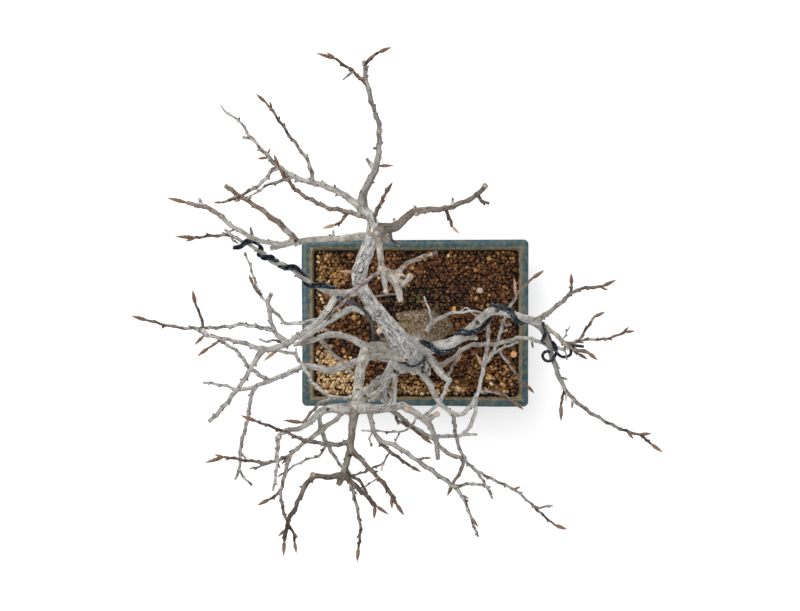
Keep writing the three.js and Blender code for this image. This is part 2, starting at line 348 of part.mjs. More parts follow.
// A closed body through stations of { point, radius }. A last radius of 0 gives a pointed end.
function sweep(stations, sides) {
  const positions = [];
  const index = [];
  const normal = new THREE.Vector3();
  stations.forEach(({ point, radius }, i) => {
    const before = stations[Math.max(i - 1, 0)].point;
    const after = stations[Math.min(i + 1, stations.length - 1)].point;
    const tangent = after.clone().sub(before).normalize();
    if (i === 0) {
      const steepest = Math.abs(tangent.z) > 0.8 ? new THREE.Vector3(1, 0, 0) : new THREE.Vector3(0, 0, 1);
      normal.copy(steepest);
    }
    normal.addScaledVector(tangent, -normal.dot(tangent)).normalize();
    const side = tangent.clone().cross(normal);
    if (radius === 0) {
      positions.push(point.x, point.y, point.z);
      return;
    }
    for (let s = 0; s < sides; s += 1) {
      const angle = (2 * Math.PI * s) / sides;
      const rim = point.clone();
      rim.addScaledVector(normal, radius * Math.cos(angle));
      rim.addScaledVector(side, radius * Math.sin(angle));
      positions.push(rim.x, rim.y, rim.z);
    }
  });
  const pointed = stations[stations.length - 1].radius === 0;
  const rings = pointed ? stations.length - 1 : stations.length;
  for (let ring = 0; ring < rings - 1; ring += 1) {
    for (let s = 0; s < sides; s += 1) {
      const a = ring * sides + s;
      const b = ring * sides + ((s + 1) % sides);
      index.push(a, b, a + sides, b, b + sides, a + sides);
    }
  }
  const last = (rings - 1) * sides;
  for (let s = 1; s < sides - 1; s += 1) index.push(0, s + 1, s);
  for (let s = 0; s < sides; s += 1) {
    if (pointed) index.push(last + s, last + ((s + 1) % sides), rings * sides);
    else if (s > 0 && s < sides - 1) index.push(last, last + s, last + s + 1);
  }
  const geometry = new THREE.BufferGeometry();
  geometry.setAttribute('position', new THREE.Float32BufferAttribute(positions, 3));
  geometry.setIndex(index);
  return geometry;
}

function solid(geometry) {
  const bare = geometry.clone();
  bare.deleteAttribute('normal');
  bare.deleteAttribute('uv');
  const merged = mergeVertices(bare, 1e-4);
  return new wasm.Manifold(new wasm.Mesh({
    numProp: 3,
    vertProperties: merged.attributes.position.array,
    triVerts: new Uint32Array(merged.index.array),
  }));
}

function geometryOf(manifold) {
  const mesh = manifold.getMesh();
  const geometry = new THREE.BufferGeometry();
  geometry.setAttribute('position', new THREE.BufferAttribute(new Float32Array(mesh.vertProperties), 3));
  geometry.setIndex(new THREE.BufferAttribute(new Uint32Array(mesh.triVerts), 1));
  return geometry.toNonIndexed();
}

function join(solids) {
  return solids.reduce((whole, piece) => whole.add(piece));
}

// The tree.

const grown = new Map();

// The stations of a limb: plan points with their heights and seen widths, one for each point of its path.
function stationsOf(path, heightAt, widthAt) {
  const reach = [0];
  for (let i = 1; i < path.length; i += 1) {
    reach.push(reach[i - 1] + Math.hypot(path[i][0] - path[i - 1][0], path[i][1] - path[i - 1][1]));
  }
  const total = reach[reach.length - 1];
  return path.map(([x, y], i) => {
    const fraction = reach[i] / total;
    const height = heightAt(fraction);
    return { x, y, height, radius: 0.5 * widthAt(fraction) * sightScale(height) };
  });
}

// The nearest point to (x, y) on a grown limb's middle line, as seen in the plan.
function onLimb(name, x, y) {
  const stations = grown.get(name);
  let best = null;
  for (let i = 1; i < stations.length; i += 1) {
    const a = stations[i - 1];
    const b = stations[i];
    const run = { x: b.x - a.x, y: b.y - a.y };
    const share = ((x - a.x) * run.x + (y - a.y) * run.y) / (run.x * run.x + run.y * run.y);
    const t = Math.min(Math.max(share, 0), 1);
    const near = { x: a.x + run.x * t, y: a.y + run.y * t };
    const distance = Math.hypot(x - near.x, y - near.y);
    if (!best || distance < best.distance) {
      const height = THREE.MathUtils.lerp(a.height, b.height, t);
      const radius = THREE.MathUtils.lerp(a.radius, b.radius, t);
      best = { ...near, height, radius, distance };
    }
  }
  return best;
}

function sidesFor(radius) {
  if (radius > 7) return 8;
  if (radius > 3.2) return 6;
  if (radius > 2.4) return 5;
  if (radius > 1.5) return 4;
  return 3;
}

// A spindle from a narrow neck to its tip.
function budStations(neck, tip, width) {
  const swell = [[0.32, 0.5], [0.7, 0.34]];
  const rings = swell.map(([reach, share]) => ({
    point: neck.clone().lerp(tip, reach),
    radius: width * share,
  }));
  return [...rings, { point: tip, radius: 0 }];
}

function limb([name, parent, path, rise, width, end]) {
  const root = onLimb(parent, ...path[0]);
  const points = [[root.x, root.y], ...path.slice(1)];
  const stations = stationsOf(points, (t) => root.height + along(rise, t), (t) => along(width, t));
  grown.set(name, end === 'bud' ? stations.slice(0, -1) : stations);
  const body = stations.map((s) => ({ point: place(s.x, s.y, s.height), radius: s.radius }));
  if (end === 'bud') {
    const tip = body.pop().point;
    const neck = body[body.length - 1].point;
    const height = stations[stations.length - 1].height;
    body.push(...budStations(neck, tip, BUD_WIDTH * sightScale(height)));
  }
  return solid(sweep(body, sidesFor(stations[0].radius)));
}

function sideBud([name, x, y, tipX, tipY]) {
  const root = onLimb(name, x, y);
  const neck = place(root.x, root.y, root.height);
  const tip = place(tipX, tipY, root.height + 3);
  const width = BUD_WIDTH * sightScale(root.height);
  const stalk = { point: neck, radius: 0.3 * width };
  return solid(sweep([stalk, ...budStations(neck, tip, width)], 3));
}

function spur([name, x, y, endX, endY, width]) {
  const root = onLimb(name, x, y);
  const radius = 0.5 * width * sightScale(root.height);
  const stations = [
    { point: place(root.x, root.y, root.height), radius },
    { point: place(endX, endY, root.height + 2), radius: radius * 0.7 },
  ];
  return solid(sweep(stations, 4));
}

function surfaceRoot(points) {
  const stations = points.map(([x, y, height], i) => ({
    point: fromRim(x, y, height),
    radius: ROOT_WIDTH[i] / 2,
  }));
  return solid(sweep(stations, 6));
}

// An upright body with a flat outline, from a bottom to a top height above the rim.
function prism(outline, bottom, top) {
  const shape = new THREE.Shape(outline.map(([x, y]) => new THREE.Vector2(x, y)));
  const geometry = new THREE.ExtrudeGeometry(shape, { depth: top - bottom, bevelEnabled: false });
  geometry.translate(0, 0, POT.height + bottom);
  return solid(geometry);
}

// The root crown's outline moved outwards by a margin, measured from its middle.
function crownOutline(margin) {
  const middle = [25, -25];
  return ROOT_CROWN.map(([x, y]) => {
    const reach = Math.hypot(x - middle[0], y - middle[1]);
    const grow = (reach + margin) / reach;
    return [middle[0] + (x - middle[0]) * grow, middle[1] + (y - middle[1]) * grow];
  });
}

function makeTree() {
  const trunk = stationsOf(TRUNK.path, (t) => along(TRUNK.heights, t), (t) => along(TRUNK.width, t));
  grown.set('trunk', trunk);
  const body = trunk.map((s) => ({ point: place(s.x, s.y, s.height), radius: s.radius }));
  const pieces = [
    solid(sweep(body, 10)),
    prism(crownOutline(0), -ROOT_BALL_DEPTH, 0.5),
    ...ROOTS.map(surfaceRoot),
    ...LIMBS.map(limb),
    ...SIDE_BUDS.map(sideBud),
    ...SPURS.map(spur),
  ];
  return join(pieces);
}

// The pot, the nets over its drain holes, and the soil.

function roundedOutline(length, depth, corner, height, steps = 4) {
  const points = [];
  const centres = [[1, 1, 0], [-1, 1, 1], [-1, -1, 2], [1, -1, 3]];
  centres.forEach(([signX, signY, quarter]) => {
    for (let i = 0; i <= steps; i += 1) {
      const angle = (Math.PI / 2) * (quarter + i / steps);
      const x = signX * (length / 2 - corner) + corner * Math.cos(angle);
      const y = signY * (depth / 2 - corner) + corner * Math.sin(angle);
      points.push(new THREE.Vector3(POT_CENTRE.x + x, POT_CENTRE.y + y, height));
    }
  });
  return points;
}

// A closed body through outlines of equal point count, capped at the first and the last.
function loft(outlines) {
  const count = outlines[0].length;
  const positions = outlines.flat().flatMap((p) => [p.x, p.y, p.z]);
  const index = [];
  for (let ring = 0; ring < outlines.length - 1; ring += 1) {
    for (let i = 0; i < count; i += 1) {
      const a = ring * count + i;
      const b = ring * count + ((i + 1) % count);
      index.push(a, b, a + count, b, b + count, a + count);
    }
  }
  const last = (outlines.length - 1) * count;
  for (let i = 1; i < count - 1; i += 1) {
    index.push(0, i + 1, i);
    index.push(last, last + i, last + i + 1);
  }
  const geometry = new THREE.BufferGeometry();
  geometry.setAttribute('position', new THREE.Float32BufferAttribute(positions, 3));
  geometry.setIndex(index);
  return geometry;
}

// The pot's cavity from its floor to its rim, drawn in by a clearance all round.
function cavityOutlines(clearance) {
  const { length, depth, corner, taper, chamfer } = CAVITY;
  const floorHeight = POT.footHeight + POT.floor + clearance;
  const trim = 2 * clearance;
  const low = roundedOutline(length * taper - trim, depth * taper - trim, corner, floorHeight);
  const high = roundedOutline(length - trim, depth - trim, corner, POT.height - chamfer);
  const mouth = roundedOutline(length + 2 * chamfer - trim, depth + 2 * chamfer - trim, corner, POT.height);
  return [low, high, mouth];
}

function upright(x, y, radius, sides, bottom, top) {
  const geometry = new THREE.CylinderGeometry(radius, radius, top - bottom, sides);
  geometry.rotateX(Math.PI / 2);
  geometry.translate(x, y, (top + bottom) / 2);
  return solid(geometry);
}

function drainCentres() {
  return [-1, 1].map((side) => [POT_CENTRE.x + (side * DRAIN.spacing) / 2, POT_CENTRE.y]);
}

function wireHoleCentres() {
  const { reach } = WIRE_HOLE;
  return [-1, 1].map((side) => [POT_CENTRE.x + side * reach, POT_CENTRE.y - side * reach]);
}

function foot(signX, signY) {
  const shape = new THREE.Shape();
  const { length, depth } = FOOT;
  shape.moveTo(0, 0);
  shape.lineTo(length, 0);
  shape.quadraticCurveTo(length - 2, depth * 0.5, length * 0.55, depth * 0.55);
  shape.quadraticCurveTo(length * 0.5, depth * 0.95, length * 0.3, depth);
  shape.lineTo(0, depth);
  const extrude = { depth: POT.footHeight + 1, bevelEnabled: false, curveSegments: 4 };
  const geometry = new THREE.ExtrudeGeometry(shape, extrude);
  const corner = { x: POT.length / 2 - FOOT.inset - LIP.overhang, y: POT.depth / 2 - FOOT.inset - LIP.overhang };
  if (signX === signY) geometry.rotateZ(signX > 0 ? Math.PI : 0);
  else {
    geometry.rotateX(Math.PI);
    geometry.translate(0, 0, POT.footHeight + 1);
    geometry.rotateZ(signX > 0 ? Math.PI : 0);
  }
  geometry.translate(POT_CENTRE.x + signX * corner.x, POT_CENTRE.y + signY * corner.y, 0);
  return solid(geometry);
}

function makePot() {
  const { height, length, depth, corner, footHeight } = POT;
  const wall = { length: length - 2 * LIP.overhang, depth: depth - 2 * LIP.overhang };
  const baseTaper = 0.93;
  const outlines = [
    roundedOutline(wall.length * baseTaper - 6, wall.depth * baseTaper - 6, corner, footHeight),
    roundedOutline(wall.length * baseTaper, wall.depth * baseTaper, corner, footHeight + 4),
    roundedOutline(wall.length * 0.97, wall.depth * 0.965, corner, height * 0.55),
    roundedOutline(wall.length, wall.depth, corner, height - LIP.height - 2),
    roundedOutline(length, depth, corner, height - LIP.height),
    roundedOutline(length, depth, corner, height - 1.5),
    roundedOutline(length - 3, depth - 3, corner, height),
    ...cavityOutlines(0).reverse(),
  ];
  let pot = solid(loft(outlines));
  [-1, 1].forEach((signX) => [-1, 1].forEach((signY) => {
    pot = pot.add(foot(signX, signY));
  }));
  const below = footHeight - 2;
  const above = footHeight + POT.floor + 2;
  drainCentres().forEach(([x, y]) => {
    pot = pot.subtract(upright(x, y, DRAIN.radius, 20, below, above));
  });
  wireHoleCentres().forEach(([x, y]) => {
    pot = pot.subtract(upright(x, y, WIRE_HOLE.radius, 8, below, above));
  });
  return pot;
}

function box(x, y, bottom, length, depth, height) {
  const geometry = new THREE.BoxGeometry(length, depth, height);
  geometry.translate(x, y, bottom + height / 2);
  return solid(geometry);
}

function makeNet([x, y]) {
  const bottom = POT.footHeight + POT.floor + GAP;
  const pitch = MESH.side / MESH.holes;
  let net = box(x, y, bottom, MESH.side, MESH.side, MESH.thickness);
  for (let i = 0; i < MESH.holes; i += 1) {
    for (let j = 0; j < MESH.holes; j += 1) {
      const holeX = x + (i - (MESH.holes - 1) / 2) * pitch;
      const holeY = y + (j - (MESH.holes - 1) / 2) * pitch;
      net = net.subtract(box(holeX, holeY, bottom - 1, MESH.hole, MESH.hole, MESH.thickness + 2));
    }
  }
  return net;
}

// The soil's top as grains: high and low points by turns, with a seeded draw, on a mound round the roots.
function soilBlock() {
  const random = repeatable(41);
  const columns = Math.round((CAVITY.length + 8) / SOIL.cell);
  const rows = Math.round((CAVITY.depth + 8) / SOIL.cell);
  const size = { x: CAVITY.length + 8, y: CAVITY.depth + 8, z: POT.height + SOIL.level };
  const geometry = new THREE.BoxGeometry(size.x, size.y, size.z, columns, rows, 1);
  geometry.deleteAttribute('normal');
  geometry.deleteAttribute('uv');
  const block = mergeVertices(geometry, 1e-4);
  const position = block.attributes.position;
  for (let i = 0; i < position.count; i += 1) {
    if (position.getZ(i) < 0) continue;
    const column = Math.round((position.getX(i) / size.x + 0.5) * columns);
    const row = Math.round((position.getY(i) / size.y + 0.5) * rows);
    const x = position.getX(i) + (random() - 0.5) * SOIL.cell * 0.5;
    const y = position.getY(i) + (random() - 0.5) * SOIL.cell * 0.5;
    const toRoots = Math.hypot(x + POT_CENTRE.x - 25, y + POT_CENTRE.y + 25);
    const mound = SOIL.mound * Math.exp(-((toRoots / SOIL.spread) ** 2));
    const grain = ((column + row) % 2 === 0 ? 1 : -1) * SOIL.grain * (0.4 + 0.6 * random());
    position.setXYZ(i, x, y, size.z / 2 + mound + grain);
  }
  block.translate(POT_CENTRE.x, POT_CENTRE.y, size.z / 2);
  return solid(block);
}

function litterSolid([x, y, width, height], margin) {
  const geometry = new THREE.DodecahedronGeometry(0.5, 0);
  geometry.scale(width + 2 * margin, width + 2 * margin, height + 2 * margin);
  geometry.translate(x, y, POT.height + SOIL.level + soilRise(x, y) + height * 0.42);
  return solid(geometry);
}

function soilRise(x, y) {
  return SOIL.mound * Math.exp(-((Math.hypot(x - 25, y + 25) / SOIL.spread) ** 2)) + SOIL.grain * 0.5;
}

function tieWire(margin) {
  const curve = new THREE.CatmullRomCurve3(TIE_ROUTE.map((p) => fromRim(...p)), false, 'centripetal');
  const stations = curve.getSpacedPoints(36).map((point) => ({ point, radius: TIE_WIRE_RADIUS + margin }));
  return solid(sweep(stations, 6));
}

function makeSoil() {
  const [low, high, mouth] = cavityOutlines(GAP);
  const above = mouth.map((p) => p.clone().setZ(POT.height + 20));
  let soil = soilBlock().intersect(solid(loft([low, high, mouth, above])));
  soil = soil.subtract(prism(crownOutline(0.5), -ROOT_BALL_DEPTH - GAP, 30));
  soil = soil.subtract(tieWire(GAP));
  const netRoom = MESH.side + 2 * GAP;
  drainCentres().forEach(([x, y]) => {
    soil = soil.subtract(box(x, y, POT.footHeight, netRoom, netRoom, POT.floor + MESH.thickness + 2 * GAP));
  });
  Object.values(LITTER).forEach((item) => {
    soil = soil.subtract(litterSolid(item, GAP));
  });
  return soil;
}

// Moves a point straight out of a limb until it is clear of the limb's skin by a clearance.
function pushOut(point, name, clearance) {
  const stations = grown.get(name);
  for (let i = 1; i < stations.length; i += 1) {
    const a = place(stations[i - 1].x, stations[i - 1].y, stations[i - 1].height);
    const b = place(stations[i].x, stations[i].y, stations[i].height);
    const line = new THREE.Line3(a, b);
    const t = line.closestPointToPointParameter(point, true);
    const near = line.at(t, new THREE.Vector3());
    const radius = THREE.MathUtils.lerp(stations[i - 1].radius, stations[i].radius, t);
    const away = point.clone().sub(near);
    if (away.length() < radius + clearance) {
      point.copy(near).addScaledVector(away.normalize(), radius + clearance);
    }
  }
}

function nearestOf(limbs, x, y) {
  return limbs.map((name) => onLimb(name, x, y)).sort((a, b) => a.distance - b.distance)[0];
}

// A wire that lies on the bark. A spread moves it sideways on the bark, so that two strands lie abreast.
function trainingWire({ limbs, path }, wireRadius, spread, steps) {
  const seats = path.map(([x, y, lift]) => {
    const nearest = nearestOf(limbs, x, y);
    return {
      point: place(x, y, nearest.height + lift),
      core: place(nearest.x, nearest.y, nearest.height),
    };
  });
  const points = seats.map(({ point, core }, i) => {
    const before = seats[Math.max(i - 1, 0)].point;
    const after = seats[Math.min(i + 1, seats.length - 1)].point;
    const sideways = after.clone().sub(before).cross(point.clone().sub(core)).normalize();
    return point.clone().addScaledVector(sideways, spread);
  });
  const curve = new THREE.CatmullRomCurve3(points, false, 'centripetal');
  const stations = curve.getSpacedPoints(steps).map((point) => {
    for (let pass = 0; pass < PUSH_PASSES; pass += 1) {
      [...limbs, ...WIRE_NEIGHBOURS].forEach((name) => pushOut(point, name, wireRadius + BARK_CLEARANCE));
    }
    return { point, radius: wireRadius };
  });
  return solid(sweep(stations, 6));
}

const group = new THREE.Group();

function addNode(name, shape, material) {
  const geometry = shape.getMesh ? geometryOf(shape) : shape;
  geometry.computeVertexNormals();
  const mesh = new THREE.Mesh(geometry, material);
  mesh.name = name;
  group.add(mesh);
}

addNode('pot', makePot(), GLAZE);
drainCentres().forEach((centre, i) => addNode(`drain_net_${i + 1}`, makeNet(centre), PLASTIC_NET));
addNode('soil', makeSoil(), GRANULES);
const tree = makeTree();
addNode('tree', tree, BARK);
addNode('tie_wire', tieWire(0), TIE_METAL);
const { left, right } = TRAINING_WIRE;
addNode('training_wire_left', trainingWire(LEFT_WIRE, left, 0, 50), ALUMINIUM_WIRE);
addNode('training_wire_front', trainingWire(RIGHT_WIRE_FRONT, right, -STRAND_SPREAD, 62), ALUMINIUM_WIRE);
addNode('training_wire_mid', trainingWire(RIGHT_WIRE_MID, right, STRAND_SPREAD, 62), ALUMINIUM_WIRE);
Object.entries(LITTER).forEach(([name, item]) => {
  addNode(name, litterSolid(item, 0), new THREE.MeshStandardMaterial({ color: item[4], roughness: 0.7 }));
});

// The origin is the middle of the whole object's box, on the surface that it stands on.
const extent = new THREE.Box3().setFromObject(group);
const middle = extent.getCenter(new THREE.Vector3());
group.children.forEach((mesh) => mesh.position.set(-middle.x, -middle.y, 0));

export default group;
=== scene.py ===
"""A leafless bonsai tree with its training wires, in a glazed rectangular pot filled with soil grains.

Shapes are worked out in millimetres, with x and y measured from the line of sight and z from the surface that
the pot stands on, and are brought to the frame, in metres, when a piece is finished.
"""

import functools
import math
import random

import bmesh
import bpy
from mathutils import Matrix, Vector, noise
from mathutils.bvhtree import BVHTree
from mathutils.kdtree import KDTree
from bpy.props import FloatProperty, FloatVectorProperty, IntProperty, PointerProperty


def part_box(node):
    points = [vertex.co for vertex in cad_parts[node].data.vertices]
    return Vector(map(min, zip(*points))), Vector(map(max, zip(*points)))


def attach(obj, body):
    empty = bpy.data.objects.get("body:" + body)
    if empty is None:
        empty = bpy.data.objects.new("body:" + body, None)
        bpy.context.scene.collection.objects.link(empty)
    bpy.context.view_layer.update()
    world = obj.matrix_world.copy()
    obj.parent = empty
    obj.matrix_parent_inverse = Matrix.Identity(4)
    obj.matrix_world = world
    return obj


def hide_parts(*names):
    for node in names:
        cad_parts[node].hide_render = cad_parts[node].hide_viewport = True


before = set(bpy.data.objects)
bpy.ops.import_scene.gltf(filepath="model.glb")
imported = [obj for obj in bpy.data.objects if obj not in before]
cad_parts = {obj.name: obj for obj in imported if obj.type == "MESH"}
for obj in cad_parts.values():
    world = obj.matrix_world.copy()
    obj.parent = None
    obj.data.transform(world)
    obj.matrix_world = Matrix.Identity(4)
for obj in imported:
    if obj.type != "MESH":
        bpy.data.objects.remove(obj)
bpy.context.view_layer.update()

bl_info = {
    "name": "Winter Bonsai",
    "version": (1, 0, 0),
    "blender": (4, 5, 0),
    "location": "3D View > Sidebar > Bonsai",
    "description": "Builds a leafless bonsai tree with training wires in a glazed pot of soil grains",
    "category": "Add Mesh",
}

# The measures of the sight, in millimetres: the eye's height above the rim, the height above the rim at which
# what is seen is true to size, and the width of the picture there. The tree is written as it is seen from
# straight above.
MM = 0.001
UP = Vector((0, 0, 1))
EYE_HEIGHT = 1500.0
PLAN_HEIGHT = 136.0
PICTURE_WIDTH = 800.0
POT_CENTRE = Vector((16.5, -19.8, 0))
POT_LOW, POT_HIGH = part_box("pot")
RIM_HEIGHT = POT_HIGH.z / MM
EYE = Vector((0, 0, RIM_HEIGHT + EYE_HEIGHT))
POT_MIDDLE = Vector(((POT_LOW.x + POT_HIGH.x) / 2, (POT_LOW.y + POT_HIGH.y) / 2, 0))
TO_FRAME = Matrix.Translation(POT_MIDDLE - POT_CENTRE * MM) @ Matrix.Scale(MM, 4)

# The pot's measures, in millimetres, apart from the share to which its cavity narrows towards the floor, and
# the steps along each corner and each side.
POT_LENGTH = (POT_HIGH.x - POT_LOW.x) / MM
POT_DEPTH = (POT_HIGH.y - POT_LOW.y) / MM
FOOT_HEIGHT = 9.0
FLOOR = 8.0
CAVITY = Vector((223.0, 157.0))
CAVITY_TAPER = 0.93
DRAIN_SPACING = 110.0
DRAIN_RADIUS = 11.0
WIRE_HOLE_RADIUS = 2.6
WIRE_HOLE_REACH = 17.0
FOOT_SIZE = Vector((38.0, 26.0))
FOOT_INSET = 12.5
LIP_FROM = 60.0
CORNER_STEPS = 8
LONG_STEPS = 14

# The soil's measures, in millimetres, apart from the spacing of rows, as a share of the grains' pitch, and
# the number of grain shapes.
SOIL_LEVEL = -7.0
MOUND_HEIGHT = 8.0
MOUND_SPREAD = 46.0
ROOTS_MIDDLE = Vector((25, -25))
BED_DEPTH = 4.6
ROW_SPACING = 0.87
GRAIN_SHAPES = 12
GRAIN_SIZE = {"red": (1.7, 2.4), "tan": (1.9, 2.7), "ochre": (1.9, 2.7), "wet": (1.6, 2.3)}
GRAINS_LOW = Vector((-111.4, -81.2))
GRAINS_HIGH = Vector((115.2, 81.6))

# The tree's measures. In millimetres: the step along a limb, a bud's width, the radius from which wood is
# fused into one skin, and the shift of the bark's grain from limb to limb. Then the fewest steps of fused
# wood on a limb, and the share of its length at which a bud is widest.
STEP = 1.5
BUD_WIDTH = 4.4
THICK_RADIUS = 2.0
GRAIN_SHIFT = 40
FEWEST_THICK = 6
BUD_BELLY = 0.32

# The tree's limbs. Each has the limb that it grows from, the points that it passes as they are seen, its rise
# above its root and its seen width, both spread evenly along it, and how it ends.
TRUNK = {
  "path": [[26, -23], [26, -25], [25, -28.5], [21.5, -34], [19, -39], [14, -44], [9, -49]],
  "heights": [-12, 18, 48, 76, 102, 128, 150],
  "widths": [34, 31.5, 29, 26.5, 26, 27.5, 25],
}

